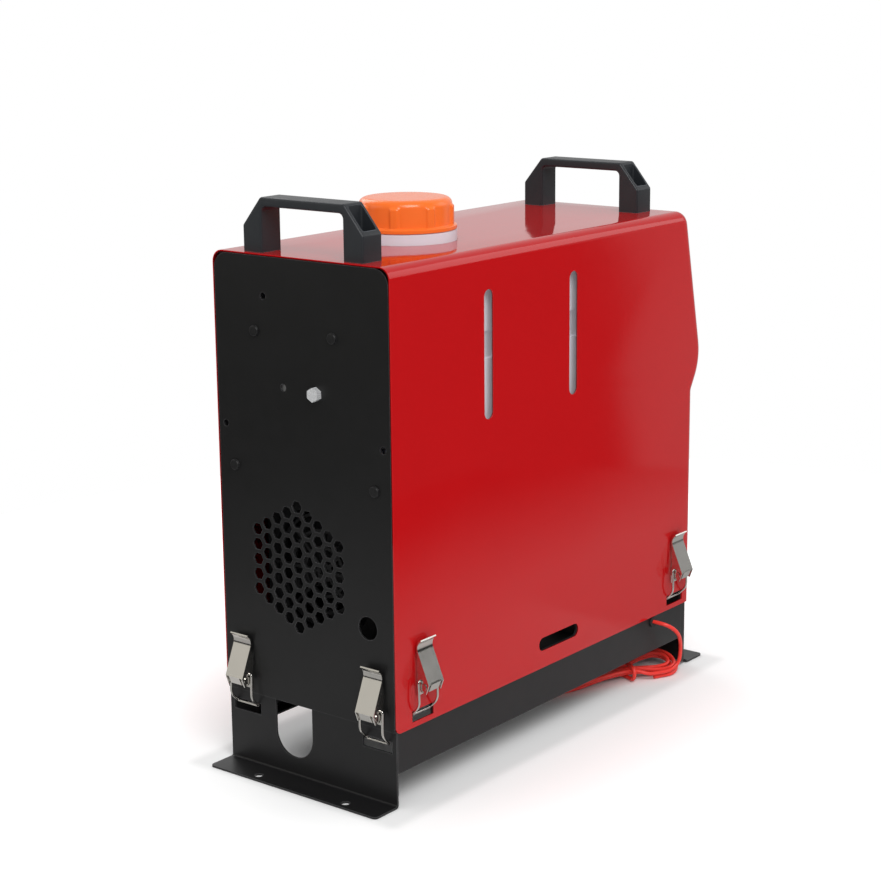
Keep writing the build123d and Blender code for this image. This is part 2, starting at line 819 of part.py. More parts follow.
def handle():
    """Moulded bridge handle with a hollow in each shoulder for its screw."""
    half, inner = handle_half_length, handle_inner_half
    top_half = half - handle_shoulder_run
    grip_low = handle_height - handle_grip_height
    outline = make_face(Polyline((-half, 0), (half, 0), (half, handle_foot_height), (top_half, handle_height),
                                 (-top_half, handle_height), (-half, handle_foot_height), close=True))
    opening = make_face(Polyline((-inner, 0), (inner, 0), (inner, grip_low), (-inner, grip_low), close=True))
    opening = fillet([v for v in opening.vertices() if v.Y > 1], handle_inner_radius)
    outline = fillet([v for v in outline.vertices() if v.Y > 1], handle_corner_radius)
    body = extrude(Plane.YZ * (outline - opening), handle_thickness / 2, both=True)
    rims = body.edges().filter_by(lambda e: abs(abs(e.center().X) - handle_thickness / 2) < 0.001
                                  and e.center().Z > 1)
    body = fillet(rims, handle_edge_radius)
    for side in (-1, 1):
        pocket = block((-handle_pocket_width / 2, handle_pocket_width / 2),
                       (handle_screw_y - handle_pocket_length / 2, handle_screw_y + handle_pocket_length / 2),
                       (handle_shelf_height, handle_height))
        pocket = fillet(pocket.edges().filter_by(Axis.Z), handle_pocket_radius)
        pocket += rod((0, handle_screw_y, -1), (0, handle_screw_y, handle_shelf_height + 1),
                      handle_screw_radius + hole_clearance)
        body -= pocket if side > 0 else mirrored_y(pocket)
    return body


def handles():
    """Both handles, standing on the hood's top."""
    return [Pos(x, 0, handle_base_z) * handle() for x in handle_x]


def zinc_screws():
    """Handle screws with nuts under the hood's top, and the bolt in the end plate."""
    inside_z = cover_top - cover_sheet
    screws = [hexagon_bolt()]
    for x, y in handle_screw_places():
        shelf = Plane(origin=(x, y, handle_base_z + handle_shelf_height))
        screw = rod((x, y, inside_z - handle_screw_tail), (x, y, shelf.origin.Z), handle_screw_radius)
        head = extrude(shelf * Circle(handle_screw_head_radius), handle_screw_head_height)
        screw += fillet(head.edges().sort_by(Axis.Z)[-1], handle_screw_head_height / 2)
        nut = Plane(origin=(x, y, inside_z - handle_nut_height))
        screw += hexagon_prism(nut, handle_nut_flats, handle_nut_height)
        screws.append(screw)
    return Compound(children=screws)


def fuel_tank():
    """Moulded tank with a stiffening groove, a filler neck and an outlet spigot."""
    half = tank_width / 2
    solid = rounded_tank(0.0)
    band = block((tank_x[0] - 1, tank_x[1] + 1), (-half - 1, half + 1),
                 (groove_z - groove_width / 2, groove_z + groove_width / 2))
    solid -= band - rounded_tank(groove_depth)
    solid += rod((neck_x, 0, tank_top_z - tank_rim_radius), (neck_x, 0, neck_collar_top_z), neck_collar_radius)
    solid += rod((neck_x, 0, neck_collar_top_z - 1), (neck_x, 0, neck_top_z), neck_radius)
    x, y = spigot_at
    solid += rod((x, y, shelf_top_z - spigot_length), (x, y, shelf_top_z + tank_rim_radius), spigot_radius)
    hollow = rounded_tank(tank_wall + groove_depth)
    hollow += rod((neck_x, 0, tank_top_z - tank_rim_radius), (neck_x, 0, neck_top_z + 1), neck_bore_radius)
    hollow += rod((x, y, shelf_top_z - spigot_length - 1), (x, y, shelf_top_z + tank_rim_radius),
                  spigot_bore_radius)
    return solid - hollow


def rounded_tank(inset):
    """The tank's body, drawn in on every side, with rounded edges and rims."""
    half = tank_width / 2 - inset
    body = block((tank_x[0] + inset, tank_x[1] - inset), (-half, half), (shelf_top_z + inset, tank_top_z - inset))
    body = fillet(body.edges().filter_by(Axis.Z), tank_edge_radius - inset)
    rims = body.edges().group_by(Axis.Z)
    return fillet(rims[0] + rims[-1], tank_rim_radius - inset)


def tank_shelf():
    """Shelf under the tank, folded down at both ends and fixed to the hood's ends."""
    ends = (-cover_end_x + cover_sheet, cover_end_x - cover_sheet)
    half = cover_half - bend_radius
    shelf = block(ends, (-base_inside, base_inside), (shelf_top_z - shelf_sheet, shelf_top_z))
    shelf = fillet(shelf.edges().filter_by(Axis.Z).group_by(Axis.X)[-1], bend_radius - cover_sheet)
    for x_range in ((ends[0], ends[0] + shelf_sheet), (ends[1] - shelf_sheet, ends[1])):
        shelf += block(x_range, (-half, half), (shelf_top_z - shelf_flange, shelf_top_z))
    x, y = spigot_at
    shelf -= rod((x, y, shelf_top_z - 5), (x, y, shelf_top_z + 1), spigot_radius + fit_gap)
    for side in (-1, 1):
        start, end = [(x, side * shelf_screw_y, shelf_screw_z) for x in (ends[0] - 1, ends[1] + 1)]
        shelf -= rod(start, end, panel_screw_radius + hole_clearance)
    return shelf


def tank_straps():
    """Two steel bands over the tank, footed on the shelf."""
    return Compound(children=[tank_strap(x) for x in strap_x])


def tank_strap(x):
    """One band: up the tank's side, over its top and down again, with outturned feet."""
    half = tank_width / 2 + sheet_gap
    top = tank_top_z + sheet_gap
    inner = make_face(Polyline((-half, shelf_top_z), (half, shelf_top_z), (half, top), (-half, top), close=True))
    inner = fillet([v for v in inner.vertices() if v.Y > top - 1], tank_rim_radius)
    outer = make_face(Polyline((-half - strap_sheet, shelf_top_z), (half + strap_sheet, shelf_top_z),
                               (half + strap_sheet, top + strap_sheet), (-half - strap_sheet, top + strap_sheet),
                               close=True))
    outer = fillet([v for v in outer.vertices() if v.Y > top - 1], tank_rim_radius + strap_sheet)
    band = extrude(Plane.YZ.offset(x) * (outer - inner), strap_width / 2, both=True)
    for side in (-1, 1):
        foot = sorted((side * half, side * (base_inside - 0.5)))
        band += block((x - strap_width / 2, x + strap_width / 2), foot, (shelf_top_z, shelf_top_z + strap_sheet))
    return band


def tank_bracket():
    """Channel between the end plate and the tank, held by two screws and the bolt."""
    ys = [y for y, z in (*bracket_screws, bracket_bolt)]
    zs = [z for y, z in (*bracket_screws, bracket_bolt)]
    y_range = (min(ys) - bracket_margin, max(ys) + bracket_margin)
    z_range = (min(zs) - bracket_margin, max(zs) + bracket_margin)
    back = -cover_end_x + cover_sheet
    plate = block((back, back + shelf_sheet), y_range, z_range)
    for low in (z_range[0], z_range[1] - shelf_sheet):
        plate += block((back, tank_x[0] - fit_gap), y_range, (low, low + shelf_sheet))
    for y, z in bracket_screws:
        plate -= rod((back - 1, y, z), (back + 3, y, z), panel_screw_radius + hole_clearance)
    y, z = bracket_bolt
    return plate - rod((back - 1, y, z), (back + 3, y, z), bolt_radius + hole_clearance)


def fuel_cap():
    """Orange screw cap: a rim, a ribbed skirt and a rounded top, hollow over the neck."""
    body = rod((neck_x, 0, cap_rim_z), (neck_x, 0, cap_top_z), cap_radius)
    body = fillet(body.edges().sort_by(Axis.Z)[-1], cap_shoulder_radius)
    for index in range(cap_rib_count):
        angle = 2 * math.pi * index / cap_rib_count
        x = neck_x + (cap_radius - cap_rib_sunk) * math.cos(angle)
        y = (cap_radius - cap_rib_sunk) * math.sin(angle)
        rib = rod((x, y, cap_rim_z), (x, y, cap_top_z - cap_shoulder_radius), cap_rib_radius)
        body += fillet(rib.edges().sort_by(Axis.Z)[-1], cap_rib_radius * 0.8)
    body += rod((neck_x, 0, cap_rim_z), (neck_x, 0, cap_rim_z + cap_rim_height), cap_rim_radius)
    return body - rod((neck_x, 0, cap_rim_z - 1), (neck_x, 0, cap_inside_z), cap_radius - cap_wall)


def cap_seal():
    """Sealing disc that lies on the neck, inside the cap."""
    return rod((neck_x, 0, seal_bottom_z), (neck_x, 0, seal_bottom_z + seal_thickness), neck_radius)


def core_outline(inset):
    """Rounded outline of the heater core across its length."""
    width, height = core_width - 2 * inset, core_height - 2 * inset
    return Pos(core_y, core_z) * RectangleRounded(width, height, core_corner_radius - inset)


def core_shell():
    """The core's plastic casing before it is parted, open at both ends and at its foot."""
    ring = core_outline(0.0) - core_outline(core_wall)
    shell = extrude(Plane.YZ.offset(core_start_x) * ring, core_end_x - core_start_x)
    foot = block((core_foot_x[0] - fit_gap, core_foot_x[1] + fit_gap),
                 (core_y - core_foot_half - fit_gap, core_y + core_foot_half + fit_gap),
                 (gasket_top_z, core_z - core_half_height + core_wall + core_foot_window))
    return shell - foot


def core_shells():
    """Lower and upper halves of the casing, parted at the core's axis."""
    shell = core_shell()
    reach = (core_start_x - 1, core_end_x + 1)
    across = (core_y - core_width, core_y + core_width)
    lower = shell & block(reach, across, (core_z - core_height, core_z))
    upper = shell & block(reach, across, (core_z, core_z + core_height))
    return lower, upper


def inlet_grille():
    """Air inlet cap of the core: rings and spokes in a rounded frame."""
    plane = Plane.YZ.offset(core_start_x - grille_thickness)
    opening = fan_radius + grille_opening_gap
    frame = core_outline(0.0) - Pos(core_y, core_z) * Circle(opening)
    grille = extrude(plane * frame, grille_thickness)
    gap = opening / grille_ring_count
    bars = []
    for index in range(grille_ring_count):
        radius = gap * (index + 0.5)
        ring = Circle(radius + grille_bar / 2) - Circle(radius - grille_bar / 2)
        bars.append(extrude(plane * Pos(core_y, core_z) * ring, grille_bar))
    for index in range(grille_spoke_count):
        angle = 360 * index / grille_spoke_count
        spoke = Pos(core_y, core_z) * Rot(0, 0, angle) * Pos((grille_hub_radius + opening) / 2, 0) * Rectangle(
            opening - grille_hub_radius + 1, grille_bar)
        bars.append(extrude(plane * spoke, grille_bar))
    return grille + bars


def outlet_cone():
    """Outlet end of the core: the casing's outline drawn in to the round duct."""
    start, end = core_end_x, core_end_x + cone_length
    faces = [Plane.YZ.offset(start) * core_outline(0.0),
             Plane.YZ.offset(end) * Pos(core_y, core_z) * RectangleRounded(
                 2 * duct_radius, 2 * duct_radius, duct_radius - cone_corner_gap)]
    bore = duct_radius - duct_wall
    hollow = [Plane.YZ.offset(start) * core_outline(core_wall),
              Plane.YZ.offset(end) * Pos(core_y, core_z) * RectangleRounded(
                  2 * bore, 2 * bore, bore - cone_corner_gap)]
    return loft(faces, ruled=True) - loft(hollow, ruled=True)


def outlet_collar():
    """Round outlet through the hood's end, with a flange and a collar for the duct."""
    start = core_end_x + cone_length
    ring = along_x((start, collar_end_x), duct_radius, duct_radius - duct_wall)
    in_wall = duct_radius - duct_wall / 2
    flange = along_x((cover_end_x, cover_end_x + collar_flange_thickness), collar_flange_radius, in_wall)
    seat = cover_end_x - louvre_inset
    stop = along_x((seat - louvre_stop, seat), in_wall, duct_radius - duct_wall - louvre_ring)
    return ring + flange + stop


def outlet_louvre():
    """Round louvre that turns in the outlet: slanted slats in a ring."""
    start = cover_end_x - louvre_inset + fit_gap
    radius = duct_radius - duct_wall - fit_gap
    ring = along_x((start, start + louvre_depth), radius, radius - louvre_ring)
    inside = along_x((start, start + louvre_depth), radius - louvre_ring / 2)
    pitch = 2 * (radius - louvre_ring) / (louvre_slat_count + 1)
    slats = []
    for index in range(louvre_slat_count):
        z = core_z + (index - (louvre_slat_count - 1) / 2) * pitch
        slat = Pos(start + louvre_depth / 2, core_y, z) * Rot(0, louvre_slat_angle, 0) * Box(
            louvre_depth - louvre_slat_margin, 2 * radius, louvre_slat_thickness)
        slats.append(slat & inside)
    return ring + slats


def rotor_shaft():
    """Shaft that carries the hot air fan and the combustion air impeller."""
    return along_x(shaft_x, shaft_radius)


def air_fan():
    """Hot air fan: a hub with pitched blades."""
    hub = along_x(fan_x, fan_hub_radius, shaft_radius)
    rims = hub.edges().filter_by(GeomType.CIRCLE).group_by(SortBy.RADIUS)[-1]
    hub = fillet(rims.sort_by(Axis.X)[0], fan_hub_rounding)
    middle = (fan_x[0] + fan_x[1]) / 2
    depth = fan_x[1] - fan_x[0]
    limits = along_x(fan_x, fan_radius, fan_hub_radius - 2)
    blades = []
    for index in range(fan_blade_count):
        turn = Pos(middle, core_y, core_z) * Rot(360 * index / fan_blade_count, 0, 0)
        blade = turn * Pos(0, 0, (fan_radius + fan_hub_radius) / 2) * Rot(0, 0, fan_blade_angle) * Box(
            fan_blade_thickness, 1.6 * depth, fan_radius)
        blades.append(blade & limits)
    return hub + blades


def fan_motor():
    """Electric motor with a flange that closes the blower, bored for the shaft."""
    bore = shaft_radius + bearing_clearance
    can = along_x((motor_x[0], motor_x[1] - motor_flange), motor_radius, bore)
    flange = along_x((motor_x[1] - motor_flange, motor_x[1]), motor_flange_radius, bore)
    cap = along_x((motor_x[0] - motor_cap_depth, motor_x[0]), motor_radius * 0.55, bore)
    return can + flange + cap


def blower_scroll():
    """Cast blower housing: the impeller's pocket, a foot and the combustion air pipe."""
    body = along_x(scroll_x, scroll_radius)
    body += foot_block((core_foot_x[0], scroll_x[1]), scroll_x[0], core_z - scroll_radius * 0.6)
    body += pipe_stub(intake_at, intake_radius)
    pocket = (impeller_x[0] - impeller_inlet_room, impeller_x[1] + impeller_end_gap)
    body -= along_x(pocket, impeller_radius + impeller_tip_gap)
    body -= along_x((impeller_x[1], scroll_x[1] + 1), burner_radius - burner_wall)
    plug = glow_plug_x
    body -= rod((plug, core_y, core_z), (plug, core_y, core_z + scroll_radius + 1), glow_plug_radius + 0.05)
    x, y = intake_at
    return body - rod((x, y, pipe_bottom_z - 1), (x, y, core_z - impeller_radius), intake_bore_radius)


def foot_block(x_range, riser_start, top):
    """Cast foot of the core: a plate on the gasket and a riser up to the casting."""
    plate = block(x_range, (core_y - core_foot_half, core_y + core_foot_half),
                  (gasket_top_z, gasket_top_z + foot_plate))
    riser_half = core_foot_half - foot_wall
    return plate + block((riser_start, x_range[1]), (core_y - riser_half, core_y + riser_half),
                         (gasket_top_z, top))


def pipe_stub(at, radius):
    """Boss through the gasket and deck, with a pipe end below it."""
    x, y = at
    stub = rod((x, y, pipe_bottom_z), (x, y, gasket_top_z + 1), radius)
    return stub + rod((x, y, deck_underside_z), (x, y, gasket_top_z + 1), pipe_boss_radius)


def heat_exchanger():
    """Cast exchanger: a closed, finned barrel on a foot, with the exhaust pipe."""
    start = scroll_x[1]
    barrel = along_x((start, exchanger_end_x), exchanger_radius)
    far = barrel.edges().filter_by(GeomType.CIRCLE).sort_by(Axis.X)[-1]
    barrel = fillet(far, exchanger_radius * 0.4)
    fins = []
    for index in range(fin_count):
        angle = 360 * (index + 0.5) / fin_count
        fin = Pos(0, core_y, core_z) * Rot(angle, 0, 0) * block(
            (start + burner_flange, exchanger_end_x - exchanger_radius * 0.3),
            (-fin_thickness / 2, fin_thickness / 2), (exchanger_radius - 1, fin_radius))
        fins.append(fin)
    body = barrel + fins
    body += foot_block((start, core_foot_x[1]), start, core_z - exchanger_radius * 0.6)
    body += pipe_stub(exhaust_at, exhaust_radius)
    body -= along_x((start - 1, exchanger_end_x - exchanger_end_wall), exchanger_bore_radius)
    body -= along_x((start - 1, start + burner_flange + fit_gap), burner_flange_radius + fit_gap)
    x, y = exhaust_at
    passage = (x, y, pipe_bottom_z - 1), (x, y, core_z - exchanger_bore_radius * 0.5)
    return body - rod(*passage, exhaust_bore_radius)


def burner_tube():
    """Burner: a flange against the blower and an open tube in the exchanger."""
    start = scroll_x[1]
    tube_part = along_x((start, burner_end_x), burner_radius, burner_radius - burner_wall)
    return tube_part + along_x((start, start + burner_flange), burner_flange_radius, burner_radius - burner_wall)


def glow_plug():
    """Glow plug screwed down into the blower housing, with its hexagon and terminal."""
    seat = core_z + scroll_radius
    plug = rod((glow_plug_x, core_y, core_z + burner_radius), (glow_plug_x, core_y, seat), glow_plug_radius)
    plug += hexagon_prism(Plane(origin=(glow_plug_x, core_y, seat)), *glow_plug_hexagon)
    return plug + rod((glow_plug_x, core_y, seat), (glow_plug_x, core_y, seat + glow_plug_post),
                      glow_plug_radius / 2)


def air_impeller():
    """Combustion air impeller: a disc with radial vanes on its rim."""
    start, end = impeller_x[0] + impeller_end_gap, impeller_x[1] - impeller_end_gap
    hub = along_x((start, end), impeller_hub_radius, shaft_radius)
    disc = along_x((start, start + impeller_disc), impeller_radius, shaft_radius)
    vanes = []
    for index in range(impeller_vane_count):
        vane = Pos(0, core_y, core_z) * Rot(360 * index / impeller_vane_count, 0, 0) * block(
            (start + impeller_disc / 2, end), (-impeller_vane / 2, impeller_vane / 2),
            (impeller_radius * 0.68, impeller_radius - impeller_vane_gap))
        vanes.append(vane)
    return hub + disc + vanes


def core_gasket():
    """Fibre gasket under the core's foot, cut out for the pipes and studs."""
    gasket = block(core_foot_x, (core_y - core_foot_half, core_y + core_foot_half), (deck_z, gasket_top_z))
    for x, y in (exhaust_at, intake_at):
        gasket -= rod((x, y, deck_z - 1), (x, y, gasket_top_z + 1), pipe_boss_radius + fit_gap)
    for x, y in stud_places():
        gasket -= rod((x, y, deck_z - 1), (x, y, gasket_top_z + 1), stud_radius + hole_clearance)
    return gasket


def core_studs():
    """Four studs under the core's foot with nuts below the deck."""
    studs = []
    for x, y in stud_places():
        stud = rod((x, y, deck_underside_z - stud_nut_height - stud_tail), (x, y, gasket_top_z), stud_radius)
        nut = Plane(origin=(x, y, deck_underside_z - stud_nut_height))
        studs.append(stud + hexagon_prism(nut, stud_nut_flats, stud_nut_height))
    return Compound(children=studs)


def control_unit():
    """Control unit under the casing's top, between fan and exchanger."""
    top = core_z + core_half_height - core_wall
    half = control_unit_width / 2
    low = top - control_unit_height
    unit = block(control_unit_x, (core_y - half, core_y + half), (low, top))
    start, end = [control_unit_x[0] + place for place in control_socket_x]
    socket_half = control_socket_width / 2
    return unit + block((start, end), (core_y - socket_half, core_y + socket_half),
                        (low - control_socket_depth, low))


def fuel_filter():
    """In-line filter below the tank's spigot: a clear body with a nozzle at each end."""
    x, y = spigot_at
    top, low = filter_top_z, filter_top_z - filter_length
    body = rod((x, y, low + filter_nozzle), (x, y, top - filter_nozzle), filter_radius)
    body = fillet(body.edges(), filter_edge_radius)
    body += rod((x, y, low), (x, y, top), spigot_radius)
    return body - rod((x, y, low - 1), (x, y, top + 1), filter_bore_radius)


def fuel_pump():
    """Dosing pump: a stepped cylinder with a nozzle at each end and its plug socket."""
    start, end = pump_x
    body = rod((start, pump_y, pump_z), (end, pump_y, pump_z), pump_radius)
    body = fillet(body.edges(), pump_edge_radius)
    nozzles = [(x, pump_y, pump_z) for x in (start - pump_neck_length, end + pump_neck_length)]
    half = pump_socket_width / 2
    socket = block((end - pump_socket_x[0], end - pump_socket_x[1]), (pump_y - half, pump_y + half),
                   (pump_z, pump_z + pump_radius + pump_socket_rise))
    return body + rod(*nozzles, pump_neck_radius) + socket


def pump_clamp():
    """Clamp round the pump on a leg that stands on the deck."""
    inner = pump_radius + fit_gap / 3
    outer = inner + clamp_thickness
    start, end = clamp_x - clamp_width / 2, clamp_x + clamp_width / 2
    clamp = tube((start, pump_y, pump_z), (end, pump_y, pump_z), outer, inner)
    near = pump_y - clamp_thickness / 2
    leg = block((start, end), (near, near + clamp_thickness), (deck_z, pump_z - outer + clamp_thickness / 2))
    foot = block((start, end), (near, pump_y + clamp_foot_reach), (deck_z, deck_z + clamp_thickness))
    return clamp + leg + foot


def line_tube(points):
    """Fuel line through its route points, with even bends."""
    path = FilletPolyline(*points, radius=bend_radii(points))
    return sweep(Plane(origin=path @ 0, z_dir=path % 0) * Circle(line_radius), path=path)


def fuel_lines():
    """Fuel lines from tank to filter, filter to pump and pump to the core's foot."""
    x, y = spigot_at
    filter_low = filter_top_z - filter_length
    pump_end = pump_x[1] + pump_neck_length
    pump_start = pump_x[0] - pump_neck_length
    drop = rod((x, y, filter_top_z), (x, y, shelf_top_z - spigot_length), line_radius)
    to_pump = line_tube([(x, y, filter_low), (x, y, pump_z), (pump_end, pump_y, pump_z)])
    foot_y = core_y - core_foot_half
    to_core = line_tube([(pump_start, pump_y, pump_z), (core_inlet_x, pump_y, pump_z),
                         (core_inlet_x, pump_y, core_inlet_z), (core_inlet_x, foot_y, core_inlet_z)])
    return Compound(children=[drop, to_pump, to_core])


def controller_bezel():
    """Controller: a front plate on the slope and a box behind it, holed for its buttons."""
    front = extrude(console_plane() * RectangleRounded(bezel_width, bezel_height, bezel_corner_radius), bezel_proud)
    face = front.faces().sort_by(Axis(console_plane().origin, console_plane().z_dir))[-1]
    front = fillet(face.edges(), bezel_edge_radius)
    margin = 2 * bezel_lip + bezel_box_gap
    back = extrude(console_plane() * Rectangle(bezel_width - margin, bezel_height - margin), -bezel_depth)
    body = front + back
    window = console_plane(bezel_proud) * Rectangle(screen_width + 2 * screen_gap, screen_height + 2 * screen_gap)
    body -= extrude(window, -(screen_thickness + screen_recess))
    for x, y in button_places():
        well = console_plane(bezel_proud) * Pos(x, y) * Circle(button_radius + button_clearance)
        body -= extrude(well, -(bezel_proud + button_well_depth))
    return body


def controller_screen():
    """Display window, seated in its recess."""
    seat = console_plane(bezel_proud - screen_thickness - screen_recess)
    return extrude(seat * Rectangle(screen_width, screen_height), screen_thickness)


def button_places():
    """Places of the controller's buttons on its plate, beside the display."""
    across, up = button_at
    return [(sx * across, sy * up) for sx in (-1, 1) for sy in (1, -1)]


def controller_buttons():
    """Four push buttons, standing a little proud of the plate."""
    buttons = []
    for x, y in button_places():
        seat = console_plane(button_travel - button_well_depth + fit_gap) * Pos(x, y)
        length = bezel_proud + button_well_depth - button_travel - fit_gap + button_proud
        button = seat * Pos(0, 0, length / 2) * Cylinder(button_radius, length)
        far = button.edges().sort_by(Axis(console_plane().origin, console_plane().z_dir))[-1]
        buttons.append(fillet(far, button_edge_radius))
    return buttons


def lead_bushing():
    """Snap bushing where the lead leaves the near rail."""
    x, z = lead_exit
    bore = lead_wire / 2 + bushing_bore_clearance
    sleeve = tube((x, -base_half, z), (x, -base_inside + bushing_tail, z), bushing_radius - bushing_fit, bore)
    return sleeve + tube((x, -base_half - bushing_flange, z), (x, -base_half, z), bushing_flange_radius, bore)


def bend_radii(points):
    """Radius of each bend of a route, from its shorter run and its turn."""
    radii = []
    for before, here, after in zip(points, points[1:], points[2:]):
        run_in = Vector(*here) - Vector(*before)
        run_out = Vector(*after) - Vector(*here)
        turn = math.radians(run_in.get_angle(run_out))
        radii.append(bend_share * min(run_in.length, run_out.length) / math.tan(turn / 2))
    return radii


def hank_frame():
    """Plane of the hank on the floor: x along it, y towards the near side, z up."""
    heading = math.radians(hank_heading)
    return Plane(origin=(*hank_right, 0), x_dir=(math.cos(heading), math.sin(heading), 0), z_dir=(0, 0, 1))


def s_bend(start, end, tangent):
    """Two equal arcs from one point to another, leaving both along the same direction."""
    middle = (start + end) / 2
    first = TangentArc(start, middle, tangent=tangent)
    return [first, TangentArc(middle, end, tangent=first % 1)]


def hank_half_turns():
    """Radius and height of each half turn: in on the upper layer, out on the lower one."""
    low = lead_wire / 2
    inward = [hank_radius - hank_step * index / 2 for index in range(2 * hank_turns)]
    return [(radius, low + hank_layer) for radius in inward] + [(radius, low) for radius in reversed(inward)]


def hank_route():
    """Route of the hank in its own plane: the edges, from the lead's end to the tail."""
    turns = hank_half_turns()
    height = turns[0][1]
    edges = [Line((hank_entry, hank_start, height), (hank_entry + lead_wire, hank_start, height))]
    for index, (after, after_height) in enumerate(turns):
        leftward = index % 2 == 0
        side, heading = (1, 1) if leftward else (-1, -1)
        start = Vector(*(edges[-1] @ 1))
        end = Vector(hank_span if leftward else 0, side * after, after_height)
        pinch = side * ((abs(start.Y) + after) / 2 - hank_draw)
        waist = Vector(hank_waist, pinch, (start.Z + after_height) / 2 + hank_lift)
        direction = Vector(heading, 0, 0)
        edges += s_bend(start, waist, direction) + s_bend(waist, end, direction)
        crown = Vector(end.X + heading * after, 0, after_height)
        edges.append(ThreePointArc(end, crown, Vector(end.X, -end.Y, after_height)))
    tail = edges[-1] @ 1
    edges.append(Line(tail, tail + Vector(hank_tail, 0, 0)))
    return edges


def swept_wire(edges):
    """Round wire of the lead's thickness along a route."""
    path = Wire(edges)
    return sweep(Plane(origin=path @ 0, z_dir=path % 0) * Circle(lead_wire / 2), path=path), path


def lead_hank():
    """The lead's spare length, folded into a hank that lies on the floor."""
    hank, path = swept_wire(hank_route())
    report_wire("lead_hank", hank, path)
    print(f"lead_hank: least gap to itself {least_gap(path):.2f} mm")
    return hank_frame() * hank


def least_gap(path):
    """Least gap between parts of a wire that aren't neighbours along it."""
    count = int(path.length / (lead_wire / 3))
    points = [path @ (index / count) for index in range(count + 1)]
    coordinates = [(point.X, point.Y, point.Z) for point in points]
    apart = 12
    nearest = min(math.dist(coordinates[i], coordinates[j])
                  for i in range(count + 1) for j in range(i + apart, count + 1))
    return nearest - lead_wire


def report_wire(name, solid, path):
    """Print a wire's length and how well its volume agrees with its section."""
    expected = math.pi * (lead_wire / 2) ** 2 * path.length
    print(f"{name}: length {path.length:.0f} mm, volume {solid.volume / expected:.4f} of section times length")


def hank_tie():
    """Short length of the same wire wound once and a third round the hank's waist."""
    reach = lead_wire / 2 + tie_gap + lead_wire / 2
    low = lead_wire / 2 + hank_lift - reach
    high = lead_wire / 2 + hank_layer + hank_lift + reach
    radius = (high - low) / 2
    middle = (high + low) / 2
    near = hank_radius + hank_step / 4 - hank_draw
    far = hank_step / 4 + hank_draw - hank_radius
    first, second = hank_waist - tie_pitch / 2, hank_waist + tie_pitch / 2
    edges = [Line((first, -tie_overlap, high), (first, near, high)),
             ThreePointArc((first, near, high), (first, near + radius, middle), (first, near, low))]
    edges += s_bend(Vector(first, near, low), Vector(second, far, low), Vector(0, -1, 0))
    edges += [ThreePointArc((second, far, low), (second, far - radius, middle), (second, far, high)),
              Line((second, far, high), (second, tie_overlap, high))]
    tie, path = swept_wire(edges)
    report_wire("hank_tie", tie, path)
    return hank_frame() * tie


def lead_route():
    """Points of the free stretch: from inside the bushing to the hank's start."""
    x, z = lead_exit
    height = hank_half_turns()[0][1]
    join = hank_frame().from_local_coords(Vector(hank_entry, hank_start, height))
    before = hank_frame().from_local_coords(Vector(hank_entry - lead_last_run, hank_start, height))
    steps = [(x + along, -base_half - out, height) for along, out, height in lead_steps]
    return [(x, -base_inside, z), *steps, tuple(before), tuple(join)]


def power_lead():
    """The lead's free stretch, from the bushing down to the hank."""
    points = lead_route()
    radii = bend_radii(points)
    print("power_lead: bend radii", ", ".join(f"{radius:.1f}" for radius in radii))
    route = FilletPolyline(*points, radius=radii)
    lead, path = swept_wire(route.edges())
    report_wire("power_lead", lead, path)
    return lead


def latch_pieces():
    """Lever and bail of each latch, and all latch bases together."""
    names = ("end_near", "end_far", "near_left", "near_right", "far_left", "far_right")
    planes = latch_planes(False) + latch_planes(True)
    lever, bail, base = latch_lever(), latch_bail(), latch_base()
    pieces = {"latch_bases": Compound(children=[plane * base for plane in planes])}
    for name, plane in zip(names, planes):
        pieces["latch_lever_" + name] = plane * lever
        pieces["latch_bail_" + name] = plane * bail
    return pieces


def all_pieces():
    """Every sub-part by name."""
    lower, upper = core_shells()
    left_handle, right_handle = handles()
    power, set_button, up_button, down_button = controller_buttons()
    pieces = {
        "cover_shell": cover_shell(),
        "end_plate": end_plate(),
        "panel_screws": panel_screws(),
        "base_end_left": base_end_left(),
        "base_end_right": base_end_right(),
        "base_rails": base_rails(),
        "mounting_deck": mounting_deck(),
        "handle_left": left_handle,
        "handle_right": right_handle,
        "zinc_screws": zinc_screws(),
        "fuel_tank": fuel_tank(),
        "fuel_cap": fuel_cap(),
        "cap_seal": cap_seal(),
        "tank_shelf": tank_shelf(),
        "tank_straps": tank_straps(),
        "tank_bracket": tank_bracket(),
        "core_shell_lower": lower,
        "core_shell_upper": upper,
        "inlet_grille": inlet_grille(),
        "outlet_cone": outlet_cone(),
        "outlet_collar": outlet_collar(),
        "outlet_louvre": outlet_louvre(),
        "rotor_shaft": rotor_shaft(),
        "air_fan": air_fan(),
        "air_impeller": air_impeller(),
        "fan_motor": fan_motor(),
        "blower_scroll": blower_scroll(),
        "burner_tube": burner_tube(),
        "heat_exchanger": heat_exchanger(),
        "glow_plug": glow_plug(),
        "core_gasket": core_gasket(),
        "core_studs": core_studs(),
        "control_unit": control_unit(),
        "fuel_filter": fuel_filter(),
        "fuel_pump": fuel_pump(),
        "pump_clamp": pump_clamp(),
        "fuel_lines": fuel_lines(),
        "controller_bezel": controller_bezel(),
        "controller_screen": controller_screen(),
        "button_power": power,
        "button_set": set_button,
        "button_up": up_button,
        "button_down": down_button,
        "lead_bushing": lead_bushing(),
        "power_lead": power_lead(),
        "lead_hank": lead_hank(),
        "hank_tie": hank_tie(),
    }
    pieces.update(latch_pieces())
    return pieces


os.makedirs("parts", exist_ok=True)
for node, piece in all_pieces().items():
    export_step(piece, f"parts/{node}.step")
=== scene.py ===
import math

import bmesh
import bpy
from bpy.props import FloatProperty, FloatVectorProperty, IntProperty, PointerProperty
from mathutils import Matrix, Vector


